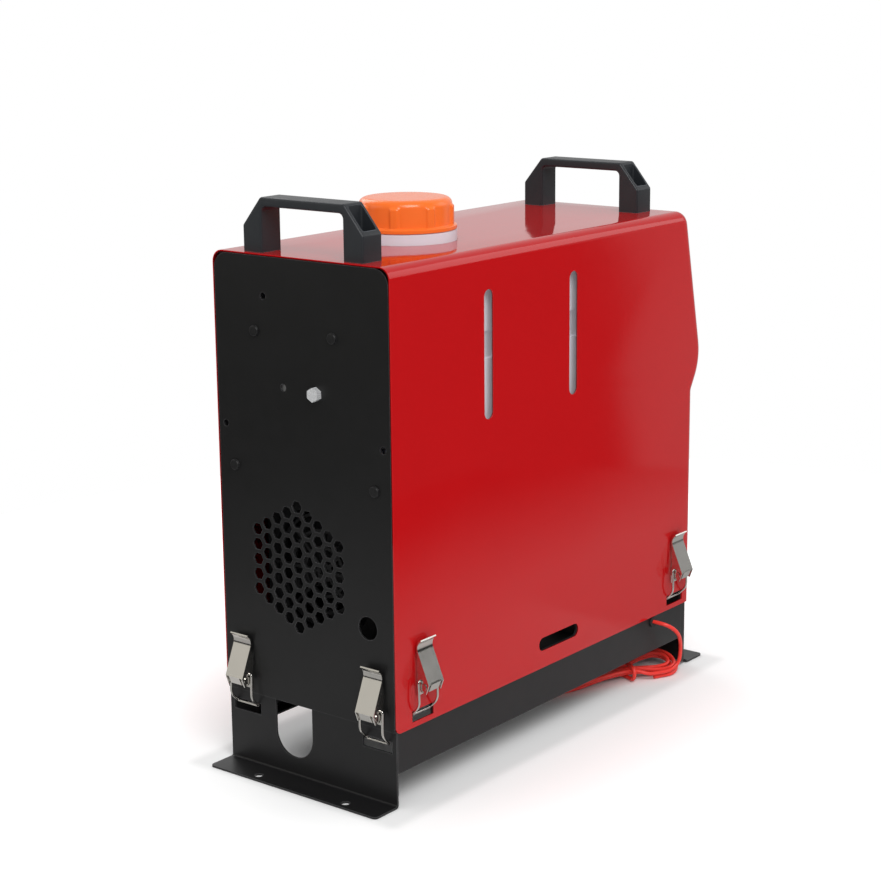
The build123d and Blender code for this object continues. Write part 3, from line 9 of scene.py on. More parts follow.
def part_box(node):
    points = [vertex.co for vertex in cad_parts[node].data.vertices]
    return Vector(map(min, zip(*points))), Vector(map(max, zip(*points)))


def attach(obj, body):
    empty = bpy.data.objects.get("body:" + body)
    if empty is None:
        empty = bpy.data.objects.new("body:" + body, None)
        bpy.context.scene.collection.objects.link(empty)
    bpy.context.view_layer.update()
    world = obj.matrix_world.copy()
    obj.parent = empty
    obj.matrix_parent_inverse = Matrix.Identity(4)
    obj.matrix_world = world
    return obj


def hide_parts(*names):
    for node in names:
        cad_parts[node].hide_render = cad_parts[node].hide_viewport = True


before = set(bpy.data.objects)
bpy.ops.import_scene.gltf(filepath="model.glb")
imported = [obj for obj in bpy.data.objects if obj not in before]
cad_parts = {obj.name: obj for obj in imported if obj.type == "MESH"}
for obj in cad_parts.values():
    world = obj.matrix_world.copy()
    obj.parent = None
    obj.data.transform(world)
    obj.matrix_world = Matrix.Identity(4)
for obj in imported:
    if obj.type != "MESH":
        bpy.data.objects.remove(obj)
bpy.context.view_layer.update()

bl_info = {
    "name": "Portable Air Heater",
    "version": (1, 0, 0),
    "blender": (4, 5, 0),
    "location": "3D View > Sidebar > Heater",
    "description": "Finishes, supply lead and studio of a portable diesel air heater",
    "category": "Object",
}

LATCHES = ("end_near", "end_far", "near_left", "near_right", "far_left", "far_right")
BUTTONS = ("power", "set", "up", "down")

# Places and sizes in metres
HOOD_BEND_Y = 0.073            # middle of the hood's long bends, out from its centre plane
HOOD_BEND_Z = 0.376            # and up from the floor
HOOD_INNER_RADIUS = 0.0084     # reach of the hood's inner faces from there
CONSOLE_X = 0.175              # where the hood's straight run ends
TANK_SIDE_Y = (0.066, 0.072)   # where the tank's rounded edges end and its long sides lie
HANK_PLACE = (0.160, -0.070)
HANK_HEADING = math.radians(153.8)
FLOOR_PLACE = (0.08, -0.03, -0.0003)
FOOTPRINT_HALF = (0.214, 0.094)
# Painted shadow: the floor is dark at this spot, which the near cable slot shows.
SLOT_VIEW = (0.171, 0.039)     # spot of the floor that the near cable slot shows
SLOT_VIEW_HALF = (0.075, 0.040)

# Studio lamps: place, power in watts and size of each, all aimed at the heater's middle
LAMP_TARGET = (0.0, 0.0, 0.2)
LAMPS = {
    "key_lamp": ((-1.3, -1.7, 2.2), 47.0, 1.6),
    "fill_lamp": ((2.0, -1.6, 1.4), 8.0, 1.6),
    "back_lamp": ((0.6, 2.2, 1.8), 16.0, 1.6),
    "side_wall": ((-1.9, 1.5, 0.95), 4.5, 1.5),
}
WALL_TINT = (1.0, 0.97, 0.90)

# What mirroring surfaces see of the studio, from behind the camera to ahead of it: place and level
BACKDROP = ((0.288, 0.36), (0.6, 0.5), (1.0, 0.72))
BACKDROP_START = 0.261
BACKDROP_TILT = 0.25           # how much a mirrored ray counts as further ahead the more it rises


def colour(name, default, description):
    """Colour property of a finish."""
    return FloatVectorProperty(name=name, description=description, default=default, size=3,
                               subtype="COLOR", min=0.0, max=1.0)


def length(name, default, description):
    """Length property in metres."""
    return FloatProperty(name=name, description=description, default=default, min=0.0,
                         subtype="DISTANCE", unit="LENGTH", precision=5)


class HeaterColours(bpy.types.PropertyGroup):
    """Colours of the heater's finishes."""
    hood: colour("Hood", (0.50, 0.0065, 0.0085), "Red enamel of the folded hood")
    plate: colour("End plate", (0.0066, 0.0066, 0.0068), "Black powder coat of the end plate")
    base: colour("Base", (0.0066, 0.0065, 0.0070), "Black powder coat of the base frame")
    handle: colour("Handles", (0.0215, 0.0245, 0.0285), "Moulded plastic of the handles")
    cap: colour("Filler cap", (1.0, 0.19, 0.028), "Orange plastic of the filler cap")
    tank: colour("Tank", (0.78, 0.77, 0.83), "Milky plastic of the fuel tank")
    nickel: colour("Latches", (0.70, 0.68, 0.64), "Nickel plate of the latches")
    zinc: colour("Screws", (0.74, 0.75, 0.76), "Zinc plate of screws and nuts")
    casting: colour("Castings", (0.46, 0.46, 0.45), "Cast aluminium of the heater core")
    casing: colour("Core casing", (0.020, 0.020, 0.021), "Plastic casing round the heater core")
    rubber: colour("Rubber", (0.014, 0.014, 0.014), "Rubber of seals, hoses and bushing")
    lead: colour("Supply lead", (0.90, 0.044, 0.032), "Red sheath of the supply lead")


class HeaterLead(bpy.types.PropertyGroup):
    """Sizes of the supply lead and of the hank that holds its spare length."""
    wire: length("Wire", 0.0032, "Outer diameter of the sheath")
    span: length("Span", 0.104, "Distance between the centres of the hank's end turns")
    waist: length("Waist", 0.034, "Place of the tie along the hank")
    entry: length("Entry", 0.010, "Where the free stretch runs into the hank")
    radius: length("Radius", 0.017, "Radius of the outermost turn")
    draw: length("Draw", 0.005, "How far the tie draws the loops in")
    step: length("Step", 0.0047, "Distance between neighbouring loops")
    layer: length("Layer", 0.004, "Height of the upper layer over the lower one")
    lift: length("Lift", 0.0038, "How far the tie lifts the waist off the floor")
    spring: length("Spring", 0.0085, "How far the loops spring up beyond the tie")
    tail: length("Tail", 0.012, "Straight end of the lead")
    loops: IntProperty(name="Loops", description="Loops in each layer", default=2, min=1, max=4)
    tie_pitch: length("Tie pitch", 0.0042, "Distance between the tie's two passes")
    tie_gap: length("Tie gap", 0.0005, "Clearance between the tie and the hank")
    tie_overlap: length("Tie overlap", 0.006, "How far the tie's ends pass the middle")


class HeaterCap(bpy.types.PropertyGroup):
    """Sizes of the ribbed filler cap."""
    rim: length("Rim", 0.0375, "Radius of the rim")
    rim_height: length("Rim height", 0.0032, "Height of the rim")
    radius: length("Radius", 0.0342, "Radius of the side between the ribs")
    bore: length("Bore", 0.032, "Radius inside")
    height: length("Height", 0.0232, "Height from the rim's foot to the top")
    ceiling: length("Ceiling", 0.019, "Height inside")
    shoulder: length("Shoulder", 0.0055, "Rounding between side and top")
    ribs: IntProperty(name="Ribs", description="Upright ribs on the side", default=8, min=3, max=40)
    rib_width: length("Rib width", 0.0085, "Width of a rib at its foot")
    rib_flank: length("Rib flank", 0.0022, "Width of a rib's slope on each side")
    rib_proud: length("Rib proud", 0.0017, "How far a rib stands out")
    first_rib: FloatProperty(name="First rib", description="Direction of one of the ribs",
                             default=math.radians(-154.4), subtype="ANGLE")


class HeaterStudio(bpy.types.PropertyGroup):
    """Camera and light of the studio."""
    yaw: FloatProperty(name="Yaw", description="Direction of view about the vertical",
                       default=math.radians(51.362), subtype="ANGLE")
    pitch: FloatProperty(name="Pitch", description="Downward tilt of the view",
                         default=math.radians(13.296), subtype="ANGLE")
    roll: FloatProperty(name="Roll", description="Turn of the view about its own axis",
                        default=math.radians(-0.586), subtype="ANGLE")
    place: FloatVectorProperty(name="Place", description="Place of the camera", size=3, subtype="XYZ",
                               default=(-1.2180, -0.9425, 0.5838), unit="LENGTH")
    lens: FloatProperty(name="Lens", description="Focal length in millimetres", default=83.22)
    ambient: FloatProperty(name="Ambient", description="Strength of the even light all round", default=0.62)
    dark_side: FloatProperty(name="Dark side", description="Brightness of the studio behind the camera",
                             default=0.03)
    floor_radius: length("Floor radius", 0.80, "Radius of the round pale floor")


# Finishes

def finish_nodes(name):
    """New material with its node tree, its shader and the object coordinates."""
    material = bpy.data.materials.new(name)
    material.use_nodes = True
    tree = material.node_tree
    shader = tree.nodes["Principled BSDF"]
    place = tree.nodes.new("ShaderNodeTexCoord")
    return material, tree, shader, place.outputs["Object"]


def noise(tree, where, scale, detail=3.0, stretch=(1.0, 1.0, 1.0)):
    """Noise pattern in metres, drawn out along the axes by a stretch."""
    mapping = tree.nodes.new("ShaderNodeMapping")
    mapping.inputs["Scale"].default_value = [scale * s for s in stretch]
    tree.links.new(where, mapping.inputs["Vector"])
    pattern = tree.nodes.new("ShaderNodeTexNoise")
    pattern.inputs["Scale"].default_value = 1.0
    pattern.inputs["Detail"].default_value = detail
    tree.links.new(mapping.outputs["Vector"], pattern.inputs["Vector"])
    return pattern.outputs["Fac"]


def span_of(tree, value, low, high):
    """Value from 0 to 1 spread between two limits."""
    spread = tree.nodes.new("ShaderNodeMapRange")
    spread.inputs["To Min"].default_value = low
    spread.inputs["To Max"].default_value = high
    tree.links.new(value, spread.inputs["Value"])
    return spread.outputs["Result"]


def tinted(tree, shader, base, mask, other, amount):
    """Base colour that shifts towards another where a mask is high."""
    mix = tree.nodes.new("ShaderNodeMix")
    mix.data_type = "RGBA"
    mix.inputs["A"].default_value = (*base, 1.0)
    mix.inputs["B"].default_value = (*other, 1.0)
    tree.links.new(span_of(tree, mask, 0.0, amount), mix.inputs["Factor"])
    tree.links.new(mix.outputs["Result"], shader.inputs["Base Color"])
    return mix


def bumps(tree, shader, heights):
    """Chain of bumps: each is a pattern with its strength and depth in metres."""
    last = None
    for pattern, strength, depth in heights:
        bump = tree.nodes.new("ShaderNodeBump")
        bump.inputs["Strength"].default_value = strength
        bump.inputs["Distance"].default_value = depth
        tree.links.new(pattern, bump.inputs["Height"])
        if last:
            tree.links.new(last, bump.inputs["Normal"])
        last = bump.outputs["Normal"]
    tree.links.new(last, shader.inputs["Normal"])


def edge_mask(tree, radius):
    """Mask that is 1 on a piece's sharp edges and 0 on its faces."""
    rounded = tree.nodes.new("ShaderNodeBevel")
    rounded.samples = 4
    rounded.inputs["Radius"].default_value = radius
    agreement = tree.nodes.new("ShaderNodeVectorMath")
    agreement.operation = "DOT_PRODUCT"
    tree.links.new(rounded.outputs["Normal"], agreement.inputs[0])
    tree.links.new(tree.nodes.new("ShaderNodeNewGeometry").outputs["Normal"], agreement.inputs[1])
    mask = tree.nodes.new("ShaderNodeMapRange")
    mask.inputs["From Min"].default_value = 0.992
    mask.inputs["From Max"].default_value = 0.86
    tree.links.new(agreement.outputs["Value"], mask.inputs["Value"])
    return mask.outputs["Result"]


def edge_highlight_and_wear(tree, shader, where, other, amount, radius):
    """Base colour that turns to another along sharp edges, more in some places than in others: a painted
    highlight, partly wear.
    """
    uneven = span_of(tree, noise(tree, where, 110.0), 0.1 * amount, 1.9 * amount)
    turned_to(tree, shader, maths(tree, "MULTIPLY", edge_mask(tree, radius), uneven), other)


def scaled(base, factor):
    """Colour made lighter or darker by a factor."""
    return tuple(min(1.0, channel * factor) for channel in base)


def maths(tree, operation, first, second=None):
    """One calculation on two values, each a socket or a number."""
    node = tree.nodes.new("ShaderNodeMath")
    node.operation = operation
    for socket, value in zip(node.inputs, (first, second)):
        if isinstance(value, (int, float)):
            socket.default_value = value
        elif value is not None:
            tree.links.new(value, socket)
    return node.outputs[0]


def summed_squares(tree, first, second):
    """Sum of two values' squares."""
    squares = [maths(tree, "MULTIPLY", value, value) for value in (first, second)]
    return maths(tree, "ADD", *squares)


def stepped(tree, value, start, end, low, high):
    """Value that eases from one level to another between two limits."""
    spread = tree.nodes.new("ShaderNodeMapRange")
    spread.interpolation_type = "SMOOTHSTEP"
    for name, number in (("From Min", start), ("From Max", end), ("To Min", low), ("To Max", high)):
        spread.inputs[name].default_value = number
    tree.links.new(value, spread.inputs["Value"])
    return spread.outputs["Result"]


def beyond(tree, value, middle, half):
    """How far a value lies outside a span about its middle."""
    aside = maths(tree, "ABSOLUTE", maths(tree, "SUBTRACT", value, middle))
    return maths(tree, "MAXIMUM", maths(tree, "SUBTRACT", aside, half), 0.0)


def hood_inner_shade_mask(tree, where):
    """Mask of the hood's inner faces, from its rounded section, which get painted shade."""
    parts = tree.nodes.new("ShaderNodeSeparateXYZ")
    tree.links.new(where, parts.inputs["Vector"])
    aside = beyond(tree, parts.outputs["Y"], 0.0, HOOD_BEND_Y)
    above = maths(tree, "MAXIMUM", maths(tree, "SUBTRACT", parts.outputs["Z"], HOOD_BEND_Z), 0.0)
    within = maths(tree, "LESS_THAN", summed_squares(tree, aside, above), HOOD_INNER_RADIUS ** 2)
    return maths(tree, "MULTIPLY", within, maths(tree, "LESS_THAN", parts.outputs["X"], CONSOLE_X))


def specks(tree, where, scale, radius):
    """Mask of sparse tiny dots: how many to a metre, and their radius in metres."""
    cells = tree.nodes.new("ShaderNodeTexVoronoi")
    cells.inputs["Scale"].default_value = scale
    tree.links.new(where, cells.inputs["Vector"])
    return maths(tree, "LESS_THAN", cells.outputs["Distance"], radius * scale)


def turned_to(tree, shader, mask, other):
    """Base colour that becomes another where a mask is high."""
    mix = tree.nodes.new("ShaderNodeMix")
    mix.data_type = "RGBA"
    tree.links.new(shader.inputs["Base Color"].links[0].from_socket, mix.inputs["A"])
    mix.inputs["B"].default_value = (*other, 1.0)
    tree.links.new(mask, mix.inputs["Factor"])
    tree.links.new(mix.outputs["Result"], shader.inputs["Base Color"])


def enamel(name, base):
    """Glossy red enamel: faint orange peel, a few specks, paler sharp edges (painted highlight, partly wear),
    and painted shade that darkens its inner faces.
    """
    material, tree, shader, where = finish_nodes(name)
    tinted(tree, shader, base, noise(tree, where, 9.0), scaled(base, 0.82), 0.5)
    dots = maths(tree, "MULTIPLY", specks(tree, where, 19.0, 0.0006), 0.3)
    turned_to(tree, shader, dots, (0.75, 0.25, 0.22))
    # Lighter red along sharp edges: painted highlight, partly wear.
    edge_highlight_and_wear(tree, shader, where, (0.66, 0.05, 0.05), 0.35, 0.0005)
    # Much darker inner faces: painted shade.
    turned_to(tree, shader, hood_inner_shade_mask(tree, where), scaled(base, 0.22))
    tree.links.new(span_of(tree, noise(tree, where, 60.0), 0.05, 0.09), shader.inputs["Roughness"])
    shader.inputs["Specular IOR Level"].default_value = 0.48
    peel = (noise(tree, where, 420.0, 1.5), 0.04, 0.0004)
    waves = (noise(tree, where, 14.0, 1.0), 0.06, 0.001)
    bumps(tree, shader, [peel, waves])
    return material


def powder_coat(name, base, gloss=0.42):
    """Black powder coat with its fine pebbled skin and paler dust on it."""
    material, tree, shader, where = finish_nodes(name)
    tinted(tree, shader, base, noise(tree, where, 22.0), scaled(base, 1.55), 0.6)
    # Paler grey along sharp edges: painted highlight, partly wear.
    edge_highlight_and_wear(tree, shader, where, (0.12, 0.12, 0.125), 0.5, 0.0008)
    dullness = span_of(tree, noise(tree, where, 90.0), gloss - 0.05, gloss + 0.07)
    tree.links.new(dullness, shader.inputs["Roughness"])
    shader.inputs["Specular IOR Level"].default_value = 0.45
    pebbles = (noise(tree, where, 1500.0, 2.0), 0.22, 0.00012)
    waves = (noise(tree, where, 12.0, 1.0), 0.06, 0.001)
    bumps(tree, shader, [pebbles, waves])
    return material


def moulded_plastic(name, base, gloss=0.45, grain=0.25, through=0.0, glow=0.0, edge=0.0):
    """Moulded plastic with a fine grain, a little light through it where it's milky, and a painted glow where
    asked.
    """
    material, tree, shader, where = finish_nodes(name)
    tinted(tree, shader, base, noise(tree, where, 35.0), scaled(base, 0.86), 0.5)
    # Much paler sharp edges: painted highlight, partly wear.
    if edge:
        edge_highlight_and_wear(tree, shader, where, scaled(base, 6.0), edge, 0.0008)
    dullness = span_of(tree, noise(tree, where, 160.0), gloss - 0.06, gloss + 0.06)
    tree.links.new(dullness, shader.inputs["Roughness"])
    if through:
        shader.inputs["Subsurface Weight"].default_value = through
        shader.inputs["Subsurface Radius"].default_value = (0.004, 0.0035, 0.003)
        shader.inputs["Subsurface Scale"].default_value = 1.0
    # Painted glow: emission on the long sides where they face the level slots.
    if glow:
        shader.inputs["Emission Color"].default_value = (*base, 1.0)
        tree.links.new(painted_side_glow(tree, where, glow), shader.inputs["Emission Strength"])
    skin = (noise(tree, where, 2600.0, 2.0), grain, 0.00006)
    waves = (noise(tree, where, 40.0, 1.0), 0.05, 0.0004)
    bumps(tree, shader, [skin, waves])
    return material


def painted_side_glow(tree, where, glow):
    """Painted glow on milky plastic where its long sides face the level slots, in place of the weak light it
    would pass on from them.
    """
    parts = tree.nodes.new("ShaderNodeSeparateXYZ")
    tree.links.new(where, parts.inputs["Vector"])
    spread = tree.nodes.new("ShaderNodeMapRange")
    spread.inputs["From Min"].default_value, spread.inputs["From Max"].default_value = TANK_SIDE_Y
    spread.inputs["To Max"].default_value = glow
    tree.links.new(maths(tree, "ABSOLUTE", parts.outputs["Y"]), spread.inputs["Value"])
    return spread.outputs["Result"]


def plated_metal(name, base, gloss=0.24, along=(1.0, 1.0, 1.0), metal=1.0):
    """Nickel or zinc plate over rolled sheet, with faint rolling lines and stains."""
    material, tree, shader, where = finish_nodes(name)
    shader.inputs["Metallic"].default_value = metal
    tinted(tree, shader, base, noise(tree, where, 70.0, 3.0), scaled(base, 0.86), 0.5)
    # Brighter sharp edges: painted highlight, partly wear.
    edge_highlight_and_wear(tree, shader, where, scaled(base, 1.3), 0.5, 0.0004)
    lines = noise(tree, where, 500.0, 2.0, along)
    tree.links.new(span_of(tree, lines, gloss - 0.03, gloss + 0.05), shader.inputs["Roughness"])
    bumps(tree, shader, [(lines, 0.04, 0.00004), (noise(tree, where, 90.0, 1.0), 0.08, 0.0002)])
    return material


def cast_metal(name, base):
    """As-cast metal with a sandy skin."""
    material, tree, shader, where = finish_nodes(name)
    shader.inputs["Metallic"].default_value = 0.9
    tinted(tree, shader, base, noise(tree, where, 60.0, 5.0), scaled(base, 0.6), 0.7)
    tree.links.new(span_of(tree, noise(tree, where, 300.0), 0.45, 0.65), shader.inputs["Roughness"])
    bumps(tree, shader, [(noise(tree, where, 900.0, 4.0), 0.35, 0.0002)])
    return material


def rubber(name, base):
    """Dull rubber with a faint bloom."""
    material, tree, shader, where = finish_nodes(name)
    tinted(tree, shader, base, noise(tree, where, 80.0), scaled(base, 1.8), 0.5)
    tree.links.new(span_of(tree, noise(tree, where, 400.0), 0.55, 0.72), shader.inputs["Roughness"])
    bumps(tree, shader, [(noise(tree, where, 1800.0), 0.2, 0.00006)])
    return material


def fibre(name, base):
    """Pressed fibre of the gasket."""
    material, tree, shader, where = finish_nodes(name)
    tinted(tree, shader, base, noise(tree, where, 700.0, 6.0), scaled(base, 0.5), 0.9)
    shader.inputs["Roughness"].default_value = 0.85
    bumps(tree, shader, [(noise(tree, where, 1200.0, 5.0), 0.4, 0.0001)])
    return material


def lead_sheath(name, base):
    """Smooth extruded sheath with a soft gloss."""
    material, tree, shader, where = finish_nodes(name)
    tinted(tree, shader, base, noise(tree, where, 90.0), scaled(base, 0.8), 0.6)
    tree.links.new(span_of(tree, noise(tree, where, 500.0), 0.26, 0.38), shader.inputs["Roughness"])
    bumps(tree, shader, [(noise(tree, where, 260.0, 1.0), 0.12, 0.0002)])
    return material


def display_window(name):
    """Dark clear window of the controller, smoked and faintly cloudy."""
    material, tree, shader, where = finish_nodes(name)
    tinted(tree, shader, (0.010, 0.013, 0.015), noise(tree, where, 30.0), (0.022, 0.028, 0.031), 0.8)
    tree.links.new(span_of(tree, noise(tree, where, 200.0), 0.04, 0.09), shader.inputs["Roughness"])
    shader.inputs["Coat Weight"].default_value = 0.6
    shader.inputs["Coat Roughness"].default_value = 0.03
    return material


def dress(material, slot, *nodes):
    """Give a finish to nodes of the frame, with their flat faces sharp and their bends smooth."""
    for node in nodes:
        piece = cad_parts[node]
        piece.data.materials.clear()
        piece.data.materials.append(material)
        smooth_bends(piece)


def smooth_bends(piece, angle=math.radians(24)):
    """Shade a piece smooth, except across edges sharper than an angle."""
    weld = piece.modifiers.new("joined_seams", "WELD")
    weld.merge_threshold = 0.000002
    mesh = piece.data
    mesh.polygons.foreach_set("use_smooth", [True] * len(mesh.polygons))
    split = piece.modifiers.new("sharp_folds", "EDGE_SPLIT")
    split.split_angle = angle
    split.use_edge_sharp = False


# Supply lead

def hank_plane():
    """Frame of the hank on the floor: x along it, y towards the near side, z up."""
    along = Vector((math.cos(HANK_HEADING), math.sin(HANK_HEADING), 0.0))
    up = Vector((0.0, 0.0, 1.0))
    across = up.cross(along)
    return Matrix(((along.x, across.x, 0.0, HANK_PLACE[0]), (along.y, across.y, 0.0, HANK_PLACE[1]),
                   (0.0, 0.0, 1.0, 0.0), (0.0, 0.0, 0.0, 1.0)))


def eased_run(start, end):
    """Route points of a run that leaves and arrives along the hank."""
    reach = end.x - start.x
    leaving = Vector((start.x + 0.25 * reach, start.y, start.z))
    arriving = Vector((start.x + 0.75 * reach, end.y, end.z))
    return [leaving, arriving]


def hank_route(lead):
    """Route points of the hank in its own frame, from the free stretch to the bare end."""
    low = lead.wire / 2
    inward = [lead.radius - lead.step * index / 2 for index in range(2 * lead.loops)]
    turns = [(radius, low + lead.layer) for radius in inward] + [(radius, low) for radius in reversed(inward)]
    here = Vector((lead.entry + lead.wire, lead.radius + lead.step / 2, low + lead.layer))
    route = []
    for index, (radius, height) in enumerate(turns):
        heading = 1 if index % 2 == 0 else -1
        end = Vector((lead.span if heading > 0 else 0.0, heading * radius, height))
        pinch = heading * ((abs(here.y) + radius) / 2 - lead.draw)
        waist = Vector((lead.waist, pinch, (here.z + height) / 2 + lead.lift))
        route += eased_run(here, waist) + eased_run(waist, end)
        corner = radius / math.cos(math.pi / 8)
        for part in range(4):
            turn = math.pi * (part + 0.5) / 4
            aside = heading * corner * math.sin(turn)
            route.append(Vector((end.x + aside, end.y / radius * corner * math.cos(turn), height)))
        here = Vector((end.x, -end.y, height))
    route += [here + Vector((lead.tail / 2, 0.0, 0.0)), here + Vector((lead.tail, 0.0, 0.0))]
    return [sprung(lead, point) for point in route]


def sprung(lead, point):
    """Point of the hank's free end lifted with its far side, where the loops spring up from the tie."""
    away = min(1.0, max(0.0, (lead.waist - point.x) / lead.waist))
    depth = min(1.0, max(0.0, (lead.radius - point.y) / (2 * lead.radius)))
    return point + Vector((0.0, 0.0, lead.spring * depth * away * away * (3 - 2 * away)))


def tie_route(lead):
    """Route points of the short length wound round the hank's waist."""
    reach = lead.wire + lead.tie_gap
    low = lead.wire / 2 + lead.lift - reach
    high = lead.wire / 2 + lead.layer + lead.lift + reach
    radius, middle = (high - low) / 2, (high + low) / 2
    near = lead.radius + lead.step / 4 - lead.draw
    far = lead.step / 4 + lead.draw - lead.radius
    first, second = lead.waist - lead.tie_pitch / 2, lead.waist + lead.tie_pitch / 2
    corner = radius / math.cos(math.pi / 8)

    def end_turn(x, y, side, downward):
        for part in range(4):
            turn = math.pi * (part + 0.5) / 4
            rise = math.cos(turn) * (1 if downward else -1)
            yield Vector((x, y + side * corner * math.sin(turn), middle + corner * rise))

    route = [Vector((first, -lead.tie_overlap, high)), Vector((first, near / 2, high))]
    route += end_turn(first, near, 1, True)
    route += [Vector((first, near / 2, low)), Vector((second, far / 2, low))]
    route += end_turn(second, far, -1, False)
    return route + [Vector((second, far / 2, high)), Vector((second, lead.tie_overlap, high))]


def wire_curve(name, route, wire, material):
    """Round wire along one smooth curve."""
    curve = bpy.data.curves.new(name, "CURVE")
    curve.dimensions = "3D"
    curve.bevel_depth = wire / 2
    curve.bevel_resolution = 5
    curve.resolution_u = 8
    curve.use_fill_caps = True
    spline = curve.splines.new("NURBS")
    spline.points.add(len(route) - 1)
    for point, place in zip(spline.points, route):
        point.co = (*place, 1.0)
    spline.order_u = 3
    spline.use_endpoint_u = True
    curve.materials.append(material)
    piece = bpy.data.objects.new(name, curve)
    bpy.context.scene.collection.objects.link(piece)
    return piece


class HEATER_OT_lead(bpy.types.Operator):
    """Lay the supply lead from its bushing to the floor, with its spare length in a tied hank"""
    bl_idname = "heater.lead"
    bl_label = "Supply Lead"

    def execute(self, context):
        lead = context.scene.heater_lead
        sheath = lead_sheath("lead_sheath", context.scene.heater_colours.lead)
        free = [
            Vector((0.1375, -0.079, 0.051)),
            Vector((0.1377, -0.089, 0.0512)),
            Vector((0.1425, -0.0965, 0.0475)),
            Vector((0.150, -0.098, 0.0405)),
            Vector((0.157, -0.0955, 0.032)),
            Vector((0.1618, -0.093, 0.0215)),
            Vector((0.1618, -0.0914, 0.0105)),
            Vector((0.15325, -0.08824, 0.0056)),
            Vector((0.14248, -0.08295, 0.0056)),
        ]
        plane = hank_plane()
        route = free + [plane @ point for point in hank_route(lead)]
        wire = wire_curve("supply_lead", route, lead.wire, sheath)
        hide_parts("power_lead", "lead_hank")
        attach(wire, "heater")
        tie_line = [plane @ point for point in tie_route(lead)]
        tie = wire_curve("hank_binding", tie_line, lead.wire, sheath)
        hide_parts("hank_tie")
        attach(tie, "heater")
        dress(rubber("bushing_rubber", context.scene.heater_colours.rubber), "black_rubber", "lead_bushing")
        return {"FINISHED"}


class HEATER_OT_hood(bpy.types.Operator):
    """Finish the red hood"""
    bl_idname = "heater.hood"
    bl_label = "Hood"

    def execute(self, context):
        colours = context.scene.heater_colours
        dress(enamel("hood_enamel", colours.hood), "hood_paint", "cover_shell")
        return {"FINISHED"}


class HEATER_OT_end_plate(bpy.types.Operator):
    """Finish the black end plate and its screws"""
    bl_idname = "heater.end_plate"
    bl_label = "End Plate"

    def execute(self, context):
        colours = context.scene.heater_colours
        dress(powder_coat("plate_coat", colours.plate, gloss=0.40), "plate_paint", "end_plate")
        dress(powder_coat("black_oxide", scaled(colours.plate, 1.2), gloss=0.44),
              "black_steel", "panel_screws")
        return {"FINISHED"}


class HEATER_OT_base(bpy.types.Operator):
    """Finish the base frame with its deck"""
    bl_idname = "heater.base"
    bl_label = "Base"

    def execute(self, context):
        coat = powder_coat("frame_coat", context.scene.heater_colours.base, gloss=0.37)
        dress(coat, "frame_paint", "base_end_left", "base_end_right", "base_rails", "mounting_deck")
        return {"FINISHED"}


class HEATER_OT_latches(bpy.types.Operator):
    """Finish the six toggle latches"""
    bl_idname = "heater.latches"
    bl_label = "Latches"

    def execute(self, context):
        rolled = (1.0, 1.0, 0.12)
        nickel = plated_metal("latch_nickel", context.scene.heater_colours.nickel, gloss=0.15, along=rolled)
        dress(nickel, "latch_nickel", "latch_bases")
        for latch in LATCHES:
            dress(nickel, "latch_nickel", "latch_lever_" + latch, "latch_bail_" + latch)
        return {"FINISHED"}


class HEATER_OT_handles(bpy.types.Operator):
    """Finish the carrying handles and the zinc screws"""
    bl_idname = "heater.handles"
    bl_label = "Handles"

    def execute(self, context):
        colours = context.scene.heater_colours
        dress(moulded_plastic("handle_plastic", colours.handle, gloss=0.42, grain=0.35, edge=0.45),
              "handle_plastic", "handle_left", "handle_right")
        dress(plated_metal("zinc_plate", colours.zinc, gloss=0.26, metal=0.35),
              "zinc_plate", "zinc_screws", "core_studs")
        return {"FINISHED"}


def cap_profile(cap):
    """Section of the filler cap, from the middle of its ceiling round the rim to the middle of its top."""
    low, high = cap.rim_height, cap.height - cap.shoulder
    section = [(0.0, cap.ceiling), (cap.bore - 0.0004, cap.ceiling), (cap.bore, cap.ceiling - 0.0004),
               (cap.bore, 0.0), (cap.rim - 0.0005, 0.0), (cap.rim, 0.0005), (cap.rim, low - 0.0006),
               (cap.rim - 0.0006, low), (cap.radius + 0.0006, low + 0.0001), (cap.radius, low + 0.0007)]
    side_steps, shoulder_steps = 18, 10
    side_foot = low + 0.0007
    for step in range(1, side_steps):
        section.append((cap.radius, side_foot + (high - side_foot) * step / side_steps))
    for step in range(shoulder_steps + 1):
        turn = math.pi / 2 * step / shoulder_steps
        inward = cap.shoulder * (1 - math.cos(turn))
        section.append((cap.radius - inward, high + cap.shoulder * math.sin(turn)))
    return section + [(cap.radius * 0.5, cap.height), (0.0, cap.height)]


def smooth_step(value):
    """Value held between 0 and 1, with soft ends."""
    held = min(1.0, max(0.0, value))
    return held * held * (3 - 2 * held)


def rib_height(cap, turn, height):
    """How far the cap's ribs stand out at an angle and a height."""
    pitch = math.tau / cap.ribs
    aside = abs((turn - cap.first_rib + pitch / 2) % pitch - pitch / 2) * cap.radius
    flank = smooth_step((cap.rib_width / 2 - aside) / cap.rib_flank)
    top = smooth_step((cap.height - cap.shoulder * 0.75 - height) / 0.002)
    return cap.rib_proud * flank * top if height > cap.rim_height else 0.0


